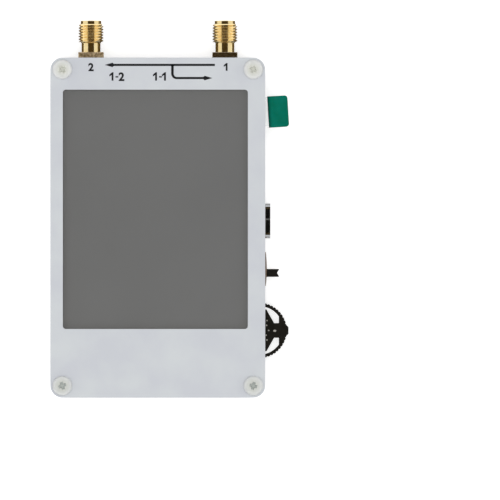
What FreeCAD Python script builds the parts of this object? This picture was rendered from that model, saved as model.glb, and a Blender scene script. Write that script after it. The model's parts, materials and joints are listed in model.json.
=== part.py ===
import FreeCAD, Part

import math
import os
import re

import Sketcher

# Two-port antenna analyzer, a sandwich of three circuit boards on nylon spacers.
# Frame: +X to the controls' edge, +Y to the coaxial jacks, +Z out of the screen.
# The origin lies midway between the four corner screws, on the back panel's outer face. The
# analyzer rests on the back screw heads, below it. Lengths are in millimetres, angles in degrees.

SIZES = {
    # the three boards
    "panel_corner": 3.0,
    "panel_thickness": 1.0,
    "board_thickness": 1.2,
    "window_side_border": 1.75,
    "window_top_border": 2.225,
    "window_bottom_border": 6.825,
    "window_corner": 0.75,
    # fasteners
    "screw_inset": 3.0,
    "screw_radius": 1.25,
    "front_head_radius": 2.45,
    "back_head_radius": 2.5,
    "head_height": 1.6,
    "head_edge": 0.2,
    "recess_length": 2.5,
    "recess_width": 0.7,
    "recess_depth": 0.7,
    "hole_clearance": 0.1,
    "thread_clearance": 0.03,
    "spacer_flats": 4.5,
    "spacer_floor": 0.6,
    "screw_end_gap": 0.2,
    # display stack
    "tape_thickness": 0.2,
    "tape_margin": 1.0,
    "screen_width": 50.0,
    "screen_height": 69.2,
    "screen_left_margin": 1.37,
    "screen_right_margin": 2.63,
    "screen_bottom_margin": 10.45,
    "screen_spacer_gap": 0.6,
    "backlight_floor": 1.4,
    "backlight_wall": 0.7,
    "glass_thickness": 0.9,
    "glass_clearance": 0.1,
    "touch_thickness": 1.1,
    "film_thickness": 0.1,
    "film_margin": 0.6,
    "screen_clearance": 0.1,
    "flex_width": 14.0,
    "flex_thickness": 0.12,
    "flex_straight": 1.2,
    "flex_drop_run": 1.6,
    "flex_foot": 2.4,
    # pull tab of the film
    "tab_width": 5.1,
    "tab_height": 7.9,
    "tab_corner": 0.75,
    "tab_thickness": 0.12,
    "tab_reach": 3.25,
    "tab_drop": 13.55,
    "tab_tilt": 3.4,
    "tab_overlap": 2.0,
    "strip_height": 7.4,
    # coaxial jacks
    "port_spacing": 33.7,
    "flange_side": 6.35,
    "flange_thickness": 1.4,
    "neck_radius": 2.375,
    "neck_length": 2.45,
    "thread_radius": 3.175,
    "thread_length": 4.5,
    "nose_radius": 2.575,
    "nose_length": 0.98,
    "mouth_radius": 2.3,
    "mouth_depth": 1.9,
    "insulator_radius": 2.05,
    "contact_radius": 0.635,
    "contact_bore_radius": 0.47,
    "contact_bore_depth": 2.9,
    "contact_clearance": 0.02,
    "tail_radius": 0.4,
    "tail_length": 3.0,
    "leg_spacing": 5.0,
    "leg_side": 0.9,
    "leg_length": 4.2,
    # socket for the charging and data cable
    "usb_gap": 3.34,
    "usb_width": 8.94,
    "usb_height": 3.2,
    "usb_length": 7.35,
    "usb_wall": 0.3,
    "usb_reach": 1.28,
    "usb_foot": 0.7,
    "usb_foot_length": 1.1,
    "usb_foot_thickness": 0.25,
    "usb_tongue_width": 6.7,
    "usb_tongue_thickness": 0.7,
    "usb_tongue_setback": 0.55,
    "usb_block_length": 2.2,
    "usb_contact_count": 12,
    "usb_contact_pitch": 0.5,
    "usb_contact_width": 0.25,
    "usb_contact_length": 3.4,
    "usb_contact_thickness": 0.05,
    # power slide switch
    "switch_gap": 4.2,
    "switch_length": 8.6,
    "switch_depth": 3.5,
    "switch_height": 3.6,
    "switch_wall": 0.3,
    "switch_reach": 0.4,
    "switch_base_depth": 1.4,
    "switch_travel": 2.0,
    "switch_clearance": 0.1,
    "knob_width": 2.0,
    "knob_thickness": 1.6,
    "knob_reach": 3.07,
    "knob_notch_depth": 0.5,
    "knob_notch_width": 1.6,
    "slider_length": 5.0,
    "terminal_pitch": 2.5,
    "terminal_side": 0.5,
    "terminal_reach": 1.0,
    # jog thumb lever
    "jog_rise": 16.85,
    "jog_inset": 1.53,
    "jog_radius": 7.0,
    "jog_rim": 0.9,
    "jog_bump": 0.4,
    "jog_bump_width": 1.7,
    "jog_bump_slope": 0.6,
    "jog_rim_half_angle": 100.0,
    "jog_web_front": 4.97,
    "jog_neck_width": 3.7,
    "jog_hub_front": 3.79,
    "jog_hub_shoulder": 1.85,
    "jog_hub_width": 10.56,
    "jog_hub_back": 3.4,
    "jog_hub_back_width": 5.0,
    "jog_tooth_depth": 0.25,
    "jog_tooth_angle": 7.2,
    "jog_first_tooth": 15.0,
    "jog_teeth": 11,
    "jog_thickness": 1.4,
    "jog_base_height": 1.4,
    "jog_base_width": 13.0,
    "jog_base_front": 1.3,
    "jog_base_back": 8.2,
    "jog_block_length": 3.0,
    "jog_block_width": 9.0,
    "jog_gap": 0.2,
    "jog_cover_gap": 0.1,
    "jog_cover_thickness": 0.3,
    "jog_cover_width": 8.0,
    "jog_cover_front": 1.1,
    "jog_push": 0.4,
    "carrier_width": 3.4,
    "carrier_front": 0.9,
    "carrier_back": 2.0,
    "carrier_thickness": 1.0,
    "carrier_clearance": 0.05,
    "pocket_floor": 0.3,
    "pivot_radius": 0.8,
    "pivot_clearance": 0.05,
    "pivot_end_gap": 0.1,
    "push_spring_radius": 0.4,
    "push_spring_wire": 0.08,
    "push_spring_turns": 6,
    "push_spring_length": 2.2,
    "side_spring_thickness": 0.12,
    "side_spring_height": 0.9,
    "side_spring_offset": 2.1,
    "side_spring_lean": 0.9,
    "jog_terminal_pitch": 2.0,
    "jog_terminal_length": 1.2,
    "jog_terminal_width": 0.6,
    "jog_terminal_thickness": 0.25,
    # power supply inside
    "battery_width": 36.0,
    "battery_height": 30.0,
    "battery_thickness": 3.0,
    "battery_corner": 1.4,
    "battery_side_margin": 5.0,
    "battery_spacer_gap": 1.5,
    "battery_jog_gap": 3.27,
    "battery_tape_width": 20.0,
    "battery_tape_height": 12.0,
    "lead_radius": 0.5,
    "lead_spacing": 2.4,
    "lead_run": 3.2,
    # electronic parts on the rear face of the main board
    "can_width": 20.0,
    "can_height": 16.5,
    "can_depth": 2.4,
    "can_wall": 0.2,
    "can_corner": 0.8,
    "can_gap": 6.0,
    "can_side_margin": 4.0,
    "can_spacer_gap": 1.65,
    "electronics_height": 15.75,
    "mixer_width": 3.9,
    "mixer_length": 4.9,
    "mixer_thickness": 1.5,
    "mixer_offset": 4.5,
    "mixer_pin_count": 4,
    "mixer_pin_pitch": 1.27,
    "processor_side": 7.0,
    "processor_thickness": 1.4,
    "processor_pin_count": 12,
    "processor_step": 12.5,
    "processor_rise": 5.9,
    "codec_side": 5.0,
    "codec_thickness": 0.9,
    "codec_step": 8.5,
    "codec_rise": 6.4,
    "clock_side": 3.0,
    "clock_thickness": 1.0,
    "clock_pin_count": 5,
    "clock_inset": 10.0,
    "clock_rise": 8.4,
    "fine_pin_pitch": 0.5,
    "oscillator_width": 3.2,
    "oscillator_height": 2.5,
    "oscillator_thickness": 0.9,
    "oscillator_rise": 2.9,
    "charger_step": 2.0,
    "charger_rise": 1.5,
    "inductor_side": 4.0,
    "inductor_thickness": 2.0,
    "inductor_gap": 0.5,
    "inductor_drop": 6.5,
    "flat_chip_gap": 0.05,
    "lead_frame_thickness": 0.15,
    "lead_frame_reach": 0.9,
    "passive_length": 1.6,
    "passive_width": 0.8,
    "passive_thickness": 0.5,
    "passive_pitch": 2.2,
    "light_length": 1.6,
    "light_width": 0.8,
    "light_thickness": 0.6,
    "light_inset": 2.2,
    "light_gap": 5.82,
    "light_pitch": 4.0,
}

# Levels and places worked out from the sizes, as rules over their names.
PLACES = {
    "back_gap_low": "panel_thickness",
    "jog_stack": "jog_base_height + jog_gap + jog_thickness + jog_cover_gap + jog_cover_thickness",
    "tallest_part_behind": "max(switch_height; usb_height; battery_thickness + tape_thickness; jog_stack;"
                         " can_depth; inductor_thickness)",
    "board_low": "back_gap_low + tallest_part_behind + 4 * hole_clearance",
    "board_high": "board_low + board_thickness",
    "tape_high": "board_high + tape_thickness",
    "glass_low": "tape_high + backlight_floor",
    "touch_low": "glass_low + glass_thickness",
    "film_low": "touch_low + touch_thickness",
    "film_high": "film_low + film_thickness",
    "front_panel_low": "film_high + screen_clearance",
    "front_panel_high": "front_panel_low + panel_thickness",
    "back_gap": "board_low - back_gap_low",
    "front_gap": "front_panel_low - board_high",
    "spacer_reach": "screw_inset + spacer_flats / 2",
    "screen_columns": "screen_left_margin + screen_width + screen_right_margin",
    "battery_columns": "battery_side_margin + battery_width + battery_jog_gap + jog_base_back + jog_inset",
    "can_columns": "2 * (can_side_margin + can_width) + can_gap",
    "panel_width": "max(screen_columns; battery_columns; can_columns)",
    "screen_rows": "screen_bottom_margin + screen_height + screen_spacer_gap + spacer_reach",
    "board_rows": "2 * spacer_reach + battery_spacer_gap + battery_height + 3 * lead_run"
                  " + electronics_height + can_height + can_spacer_gap",
    "panel_height": "max(screen_rows; board_rows)",
    "half_width": "panel_width / 2",
    "half_height": "panel_height / 2",
    "screw_x": "half_width - screw_inset",
    "screw_y": "half_height - screw_inset",
    "front_hole_depth": "front_gap - spacer_floor",
    "front_shank": "panel_thickness + front_hole_depth - screw_end_gap",
    "back_shank": "panel_thickness + back_gap / 2 - screw_end_gap / 2",
    "stud_length": "board_thickness + back_gap / 2 - screw_end_gap / 2",
    "spacer_corner": "spacer_flats / 2 / cos(30)",
    "screen_x": "screen_left_margin + screen_width / 2 - half_width",
    "screen_low_y": "screen_bottom_margin - half_height",
    "screen_y": "screen_low_y + screen_height / 2",
    "window_width": "screen_width - 2 * window_side_border",
    "window_height": "screen_height - window_top_border - window_bottom_border",
    "window_y": "screen_y + (window_bottom_border - window_top_border) / 2",
    "tab_x": "half_width + tab_reach",
    "tab_y": "half_height - tab_drop",
    "port_z": "board_high + tail_radius",
    "port_length": "flange_thickness + neck_length + thread_length + nose_length",
    "jog_y": "jog_rise - half_height",
    "switch_y": "jog_y + jog_radius + switch_gap + switch_length / 2",
    "usb_y": "switch_y + switch_length / 2 + usb_gap + usb_width / 2",
    "usb_front": "half_width + usb_reach",
    "usb_z": "board_low - usb_height / 2",
    "switch_front": "half_width + switch_reach",
    "switch_z": "board_low - switch_height / 2",
    "switch_inner_front": "switch_front - switch_wall",
    "jog_x": "half_width - jog_inset",
    "lever_high": "board_low - jog_base_height - jog_gap",
    "lever_low": "lever_high - jog_thickness",
    "cover_high": "lever_low - jog_cover_gap",
    "cover_low": "cover_high - jog_cover_thickness",
    "jog_bay_low": "board_low - jog_base_height",
    "battery_low": "board_low - tape_thickness - battery_thickness",
    "battery_x": "battery_side_margin + battery_width / 2 - half_width",
    "battery_right": "battery_x + battery_width / 2",
    "battery_y": "spacer_reach + battery_spacer_gap + battery_height / 2 - half_height",
    "battery_edge": "battery_y + battery_height / 2",
    "lead_z": "board_low - tape_thickness - battery_thickness / 2",
    "lead_end": "battery_edge + 3 * lead_run",
    "can_spacing": "can_width + can_gap",
    "can_y": "half_height - spacer_reach - can_spacer_gap - can_height / 2",
    "clock_x": "clock_inset - half_width",
    "clock_y": "lead_end + clock_rise",
    "oscillator_y": "lead_end + oscillator_rise",
    "codec_x": "clock_x + codec_step",
    "codec_y": "lead_end + codec_rise",
    "processor_x": "codec_x + processor_step",
    "processor_y": "lead_end + processor_rise",
    "charger_x": "battery_right + charger_step",
    "charger_y": "battery_edge + charger_rise",
    "inductor_x": "battery_right + inductor_gap + inductor_side / 2",
    "inductor_y": "battery_edge - inductor_drop",
    "light_x": "half_width - light_inset",
    "light_y": "usb_y + usb_width / 2 + light_gap",
}

NAME = re.compile(r"\b[a-z][a-z_]+\b")

model = FreeCAD.newDocument("AntennaAnalyzer")
sheet = model.addObject("Spreadsheet::Sheet", "Sizes")
for row, (alias, size) in enumerate(SIZES.items(), start=1):
    sheet.set(f"A{row}", alias)
    sheet.set(f"B{row}", str(size))
    sheet.setAlias(f"B{row}", alias)
model.recompute()

nodes = {}


def rule(text):
    """Write a rule over size names as an expression over the sheet's cells."""
    def spelled_out(match):
        word = match.group(0)
        if word in PLACES:
            return "(" + rule(PLACES[word]) + ")"
        return "Sizes." + word if word in SIZES else word
    return NAME.sub(spelled_out, str(text))


def value(text):
    return float(sheet.evalExpression(rule(text)))


def bind(item, **rules):
    for name, text in rules.items():
        item.setExpression(name, rule(text))


def place(item, x="0", y="0", z="0"):
    for letter, text in zip("xyz", (x, y, z)):
        item.setExpression(f"Placement.Base.{letter}", rule(text))


# ---- sketches ----

def plane_of(body, role):
    return next(plane for plane in body.Origin.OriginFeatures if plane.Role == role)


def new_body(label, x="0", y="0", z="0"):
    body = model.addObject("PartDesign::Body", label)
    body.Label = label
    place(body, x, y, z)
    return body


def new_sketch(body, role="XY_Plane", height="0"):
    sketch = body.newObject("Sketcher::SketchObject", body.Name + "_sketch")
    sketch.AttachmentSupport = [(plane_of(body, role), "")]
    sketch.MapMode = "FlatFace"
    sketch.setExpression("AttachmentOffset.Base.z", rule(height))
    return sketch


def measure(sketch, kind, *ends, text):
    number = sketch.addConstraint(Sketcher.Constraint(kind, *ends, value(text)))
    sketch.setExpression(f"Constraints[{number}]", rule(text))


def pin_down(sketch, edge, end, x, y):
    measure(sketch, "DistanceX", -1, 1, edge, end, text=x)
    measure(sketch, "DistanceY", -1, 1, edge, end, text=y)


def outline(sketch, points):
    """A closed outline of straight edges whose corners are pairs of rules."""
    spots = [FreeCAD.Vector(value(x), value(y), 0) for x, y in points]
    first = sketch.GeometryCount
    count = len(points)
    for number in range(count):
        sketch.addGeometry(Part.LineSegment(spots[number], spots[(number + 1) % count]))
    for number in range(count):
        follower = first + (number + 1) % count
        sketch.addConstraint(Sketcher.Constraint("Coincident", first + number, 2, follower, 1))
    for number, (x, y) in enumerate(points):
        pin_down(sketch, first + number, 1, x, y)


def rectangle(sketch, low_x, high_x, low_y, high_y):
    outline(sketch, [(low_x, low_y), (high_x, low_y), (high_x, high_y), (low_x, high_y)])


def rounded_rectangle(sketch, width, height, radius, x="0", y="0"):
    """Four straight edges joined by tangent corner arcs, centred on x, y."""
    middle = FreeCAD.Vector(value(x), value(y), 0)
    half_x, half_y, arc_radius = value(width) / 2, value(height) / 2, value(radius)
    first = sketch.GeometryCount
    for quarter in range(4):
        turned = quarter % 2 == 1
        along, across = (half_y, half_x) if turned else (half_x, half_y)
        spin = FreeCAD.Rotation(FreeCAD.Vector(0, 0, 1), 90 * quarter)
        start = FreeCAD.Vector(-along + arc_radius, -across, 0)
        end = FreeCAD.Vector(along - arc_radius, -across, 0)
        centre = FreeCAD.Vector(along - arc_radius, -across + arc_radius, 0)
        sketch.addGeometry(Part.LineSegment(middle + spin.multVec(start), middle + spin.multVec(end)))
        corner = Part.Circle(middle + spin.multVec(centre), FreeCAD.Vector(0, 0, 1), arc_radius)
        opening = math.radians(90 * quarter - 90)
        sketch.addGeometry(Part.ArcOfCircle(corner, opening, opening + math.pi / 2))
    for quarter in range(4):
        line, arc = first + 2 * quarter, first + 2 * quarter + 1
        follower = first + (2 * quarter + 2) % 8
        sketch.addConstraint(Sketcher.Constraint("Tangent", line, 2, arc, 1))
        sketch.addConstraint(Sketcher.Constraint("Tangent", arc, 2, follower, 1))
        sketch.addConstraint(Sketcher.Constraint("Vertical" if quarter % 2 else "Horizontal", line))
        if quarter:
            sketch.addConstraint(Sketcher.Constraint("Equal", first + 1, arc))
    measure(sketch, "Radius", first + 1, text=radius)
    measure(sketch, "DistanceY", -1, 1, first, 1, text=f"({y}) - ({height}) / 2")
    measure(sketch, "DistanceX", -1, 1, first + 2, 1, text=f"({x}) + ({width}) / 2")
    measure(sketch, "DistanceY", -1, 1, first + 4, 1, text=f"({y}) + ({height}) / 2")
    measure(sketch, "DistanceX", -1, 1, first + 6, 1, text=f"({x}) - ({width}) / 2")


def circle(sketch, radius, x="0", y="0"):
    spot = FreeCAD.Vector(value(x), value(y), 0)
    edge = sketch.addGeometry(Part.Circle(spot, FreeCAD.Vector(0, 0, 1), value(radius)))
    pin_down(sketch, edge, 3, x, y)
    measure(sketch, "Radius", edge, text=radius)


# ---- features ----

def pad(body, sketch, length, both_ways=False, backwards=False):
    feature = body.newObject("PartDesign::Pad", body.Name + "_pad")
    feature.Profile = sketch
    feature.Midplane = both_ways
    feature.Reversed = backwards
    bind(feature, Length=length)
    model.recompute()
    return feature


def pocket(body, sketch, depth=None, backwards=False):
    """Cut away from the sketch's plane against its normal, or right through with no depth."""
    before = body.Shape.Volume
    feature = body.newObject("PartDesign::Pocket", body.Name + "_pocket")
    feature.Profile = sketch
    feature.Reversed = backwards
    if depth is None:
        feature.Type = "ThroughAll"
        feature.Midplane = True
    else:
        bind(feature, Length=depth)
    model.recompute()
    if not body.Shape.Volume < before:
        raise RuntimeError(f"{body.Label}: a pocket cut nothing")
    return feature


def revolve(body, sketch, axis):
    feature = body.newObject("PartDesign::Revolution", body.Name + "_turned")
    feature.Profile = sketch
    feature.ReferenceAxis = (sketch, [axis])
    feature.Angle = 360
    model.recompute()
    return feature


# ---- simple solids and groups ----

def block(label, x, y, z):
    """A box from three pairs of rules, low and high along each axis."""
    box = model.addObject("Part::Box", label)
    box.Label = label
    bind(box, Length=f"({x[1]}) - ({x[0]})", Width=f"({y[1]}) - ({y[0]})", Height=f"({z[1]}) - ({z[0]})")
    place(box, x[0], y[0], z[0])
    return box


def centred_block(label, x, y, z, size_x, size_y):
    half_x, half_y = f"({size_x}) / 2", f"({size_y}) / 2"
    return block(label, (f"{x} - {half_x}", f"{x} + {half_x}"), (f"{y} - {half_y}", f"{y} + {half_y}"), z)


def group(label, items):
    bundle = model.addObject("Part::Compound", label)
    bundle.Label = label
    bundle.Links = items
    nodes[label] = bundle
    return bundle


def copies(label, source, spots):
    """A group of separate copies of one piece; a spot is x, y, z and a turn about Z."""
    links = []
    for number, (x, y, z, turn) in enumerate(spots, start=1):
        link = model.addObject("App::Link", f"{label}_{number}")
        link.LinkedObject = source
        link.LinkTransform = False
        for letter, text in zip("xyz", (x, y, z)):
            link.setExpression(f"LinkPlacement.Base.{letter}", rule(text))
        link.LinkPlacement = FreeCAD.Placement(link.LinkPlacement.Base, turn)
        links.append(link)
    return group(label, links)


def corner_spots(height, turns=(0, 0, 0, 0), flipped=False):
    spots = []
    signs = ((-1, 1), (1, 1), (-1, -1), (1, -1))
    for (sign_x, sign_y), degrees in zip(signs, turns):
        turn = FreeCAD.Rotation(FreeCAD.Vector(0, 0, 1), degrees)
        if flipped:
            turn = turn.multiply(FreeCAD.Rotation(FreeCAD.Vector(1, 0, 0), 180))
        spots.append((f"{sign_x} * screw_x", f"{sign_y} * screw_y", height, turn))
    return spots


def computed(label, shape, x="0", y="0", z="0"):
    piece = model.addObject("Part::Feature", label)
    piece.Label = label
    piece.Shape = shape
    place(piece, x, y, z)
    nodes[label] = piece
    return piece


def box_shape(x, y, z):
    """A box shape from three pairs of rules."""
    low = [value(pair[0]) for pair in (x, y, z)]
    high = [value(pair[1]) for pair in (x, y, z)]
    sides = [end - start for start, end in zip(low, high)]
    return Part.makeBox(*sides, FreeCAD.Vector(*low))


# ---- boards ----

def board(label, level, thickness, window=False):
    piece = new_body(label, z=level)
    edge = new_sketch(piece)
    rounded_rectangle(edge, "panel_width", "panel_height", "panel_corner")
    pad(piece, edge, thickness)
    holes = new_sketch(piece)
    for sign_x in (-1, 1):
        for sign_y in (-1, 1):
            circle(holes, "screw_radius + hole_clearance", f"{sign_x} * screw_x", f"{sign_y} * screw_y")
    pocket(piece, holes)
    if window:
        opening = new_sketch(piece)
        rounded_rectangle(opening, "window_width", "window_height", "window_corner", "screen_x", "window_y")
        pocket(piece, opening)
    nodes[label] = piece


# ---- fasteners ----

def screw(label, shank, head_radius):
    """A pan-head screw with a cross recess: head upwards from 0, shank downwards."""
    piece = new_body(label)
    profile = new_sketch(piece, "XZ_Plane")
    outline(profile, [("0", f"-({shank})"), ("screw_radius", f"-({shank})"), ("screw_radius", "0"),
                      (head_radius, "0"), (head_radius, "head_height - head_edge"),
                      (f"{head_radius} - head_edge", "head_height"), ("0", "head_height")])
    revolve(piece, profile, "V_Axis")
    cross = new_sketch(piece, height="head_height")
    arm, half = "recess_length / 2", "recess_width / 2"
    outline(cross, [(half, half), (half, arm), (f"-{half}", arm), (f"-{half}", half), (f"-{arm}", half),
                    (f"-{arm}", f"-{half}"), (f"-{half}", f"-{half}"), (f"-{half}", f"-{arm}"),
                    (half, f"-{arm}"), (half, f"-{half}"), (arm, f"-{half}"), (arm, half)])
    pocket(piece, cross, "recess_depth")
    return piece


def hexagon(sketch):
    corner, half_flat, half_side = "spacer_corner", "spacer_flats / 2", "spacer_corner / 2"
    outline(sketch, [(corner, "0"), (half_side, half_flat), (f"-{half_side}", half_flat),
                     (f"-{corner}", "0"), (f"-{half_side}", f"-{half_flat}"), (half_side, f"-{half_flat}")])


def front_spacer():
    """Hexagonal standoff with a blind hole above and a stud below, through the main board."""
    piece = new_body("front_spacer")
    flats = new_sketch(piece)
    hexagon(flats)
    pad(piece, flats, "front_gap")
    stud = new_sketch(piece)
    circle(stud, "screw_radius")
    pad(piece, stud, "stud_length", backwards=True)
    hole = new_sketch(piece, height="front_gap")
    circle(hole, "screw_radius + thread_clearance")
    pocket(piece, hole, "front_hole_depth")
    return piece


def back_spacer():
    piece = new_body("back_spacer")
    flats = new_sketch(piece)
    hexagon(flats)
    pad(piece, flats, "back_gap")
    hole = new_sketch(piece)
    circle(hole, "screw_radius + thread_clearance")
    pocket(piece, hole)
    return piece


def fasteners():
    copies("front_screws", screw("front_screw", "front_shank", "front_head_radius"),
           corner_spots("front_panel_high", turns=(38, 62, 20, 75)))
    copies("back_screws", screw("back_screw", "back_shank", "back_head_radius"),
           corner_spots("0", turns=(10, 55, 30, 80), flipped=True))
    copies("front_spacers", front_spacer(), corner_spots("board_high"))
    copies("back_spacers", back_spacer(), corner_spots("back_gap_low"))


# ---- display ----

def sheet_of(label, level, thickness, width, height):
    levels = (level, f"{level} + {thickness}")
    nodes[label] = centred_block(label, "screen_x", "screen_y", levels, width, height)


def display():
    sheet_of("screen_tape", "board_high", "tape_thickness",
             "screen_width - 2 * tape_margin", "screen_height - 2 * tape_margin")
    tray = new_body("screen_backlight", "screen_x", "screen_y", "tape_high")
    edge = new_sketch(tray)
    rectangle(edge, "-screen_width / 2", "screen_width / 2", "-screen_height / 2", "screen_height / 2")
    pad(tray, edge, "backlight_floor + glass_thickness")
    inner_x, inner_y = "(screen_width / 2 - backlight_wall)", "(screen_height / 2 - backlight_wall)"
    seat = new_sketch(tray, height="backlight_floor + glass_thickness")
    rectangle(seat, f"-{inner_x}", inner_x, f"-{inner_y}", inner_y)
    pocket(tray, seat, "glass_thickness")
    nodes["screen_backlight"] = tray
    glass_inset = "2 * (backlight_wall + glass_clearance)"
    sheet_of("screen_glass", "glass_low", "glass_thickness",
             f"screen_width - {glass_inset}", f"screen_height - {glass_inset}")
    sheet_of("touch_panel", "touch_low", "touch_thickness", "screen_width", "screen_height")
    screen_flex()
    protective_film()
    pull_tab()


def screen_flex():
    """Ribbon from the display's lower edge, down to its soldered foot on the main board."""
    ribbon = new_body("screen_flex", "screen_x", "screen_low_y", "board_high")
    side = new_sketch(ribbon, "YZ_Plane")
    rise = "(tape_thickness + backlight_floor / 2)"
    bend, foot = "(flex_straight + flex_drop_run)", "(flex_straight + flex_drop_run + flex_foot)"
    outline(side, [("0", f"{rise} + flex_thickness"), ("-flex_straight", f"{rise} + flex_thickness"),
                   (f"-{bend}", "flex_thickness"), (f"-{foot}", "flex_thickness"), (f"-{foot}", "0"),
                   (f"-{bend} - flex_thickness / 2", "0"), (f"-flex_straight - flex_thickness / 2", rise),
                   ("0", rise)])
    pad(ribbon, side, "flex_width", both_ways=True)
    nodes["screen_flex"] = ribbon


def protective_film():
    """Clear film over the touch panel, with a strip that reaches out under the pull tab."""
    film = new_body("protective_film", "screen_x", "screen_y", "film_low")
    edge = new_sketch(film)
    right, top = "(screen_width / 2 - film_margin)", "(screen_height / 2 - film_margin)"
    strip_end = "(tab_x - tab_width / 2 + tab_overlap - screen_x)"
    strip_low = "(tab_y - strip_height / 2 - screen_y)"
    strip_high = "(tab_y + strip_height / 2 - screen_y)"
    outline(edge, [(f"-{right}", f"-{top}"), (right, f"-{top}"), (right, strip_low), (strip_end, strip_low),
                   (strip_end, strip_high), (right, strip_high), (right, top), (f"-{right}", top)])
    pad(film, edge, "film_thickness")
    nodes["protective_film"] = film


def tab_sketch(tab):
    sketch = new_sketch(tab)
    sketch.setExpression("AttachmentOffset.Rotation.Angle", rule("tab_tilt"))
    tilt = FreeCAD.Rotation(FreeCAD.Vector(0, 0, 1), value("tab_tilt"))
    sketch.AttachmentOffset = FreeCAD.Placement(FreeCAD.Vector(0, 0, 0), tilt)
    return sketch


def pull_tab():
    """Tab with round corners at its free end and square ones where it is stuck to the film."""
    tab = new_body("pull_tab", "tab_x", "tab_y", "film_high")
    edge = tab_sketch(tab)
    rounded_rectangle(edge, "tab_width", "tab_height", "tab_corner")
    pad(tab, edge, "tab_thickness")
    square_end = tab_sketch(tab)
    rectangle(square_end, "-tab_width / 2", "0", "-tab_height / 2", "tab_height / 2")
    pad(tab, square_end, "tab_thickness")
    nodes["pull_tab"] = tab


# ---- coaxial jacks ----

def jack(number, sign):
    """Edge-mounted jack: flange against the boards' edge, four legs astride the main board."""
    spot = (f"{sign} * port_spacing / 2", "half_height", "port_z")
    body = new_body(f"port_{number}_body", *spot)
    flange = new_sketch(body, "XZ_Plane")
    half = "flange_side / 2"
    rectangle(flange, f"-{half}", half, f"-{half}", half)
    pad(body, flange, "flange_thickness", backwards=True)
    hole = new_sketch(body, "XZ_Plane")
    circle(hole, "insulator_radius")
    pocket(body, hole)
    turned = new_sketch(body)
    neck_end = "(flange_thickness + neck_length)"
    thread_end = "(flange_thickness + neck_length + thread_length)"
    outline(turned, [("insulator_radius", "0"), ("neck_radius", "0"), ("neck_radius", neck_end),
                     ("thread_radius", neck_end), ("thread_radius", thread_end),
                     ("nose_radius", thread_end), ("nose_radius", "port_length"),
                     ("mouth_radius", "port_length"), ("mouth_radius", "port_length - mouth_depth"),
                     ("insulator_radius", "port_length - mouth_depth")])
    revolve(body, turned, "V_Axis")
    legs = new_sketch(body, "XZ_Plane")
    for leg_sign in (-1, 1):
        inner = f"{leg_sign} * leg_spacing / 2 - leg_side / 2"
        outer = f"{leg_sign} * leg_spacing / 2 + leg_side / 2"
        rectangle(legs, inner, outer, "-tail_radius", "leg_side - tail_radius")
        rear = "-tail_radius - board_thickness"
        rectangle(legs, inner, outer, f"{rear} - leg_side", rear)
    pad(body, legs, "leg_length")
    nodes[body.Label] = body

    insulator = new_body(f"port_{number}_insulator", *spot)
    ring = new_sketch(insulator, "XZ_Plane")
    circle(ring, "insulator_radius - contact_clearance")
    circle(ring, "contact_radius + contact_clearance")
    pad(insulator, ring, "port_length - mouth_depth", backwards=True)
    nodes[insulator.Label] = insulator

    contact = new_body(f"port_{number}_contact", *spot)
    profile = new_sketch(contact)
    tip = "(port_length - mouth_depth)"
    socket_floor = f"{tip} - contact_bore_depth"
    outline(profile, [("0", "-tail_length"), ("tail_radius", "-tail_length"), ("tail_radius", "0"),
                      ("contact_radius", "0"), ("contact_radius", tip), ("contact_bore_radius", tip),
                      ("contact_bore_radius", socket_floor), ("0", socket_floor)])
    revolve(contact, profile, "V_Axis")
    nodes[contact.Label] = contact


# ---- cable socket ----

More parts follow.
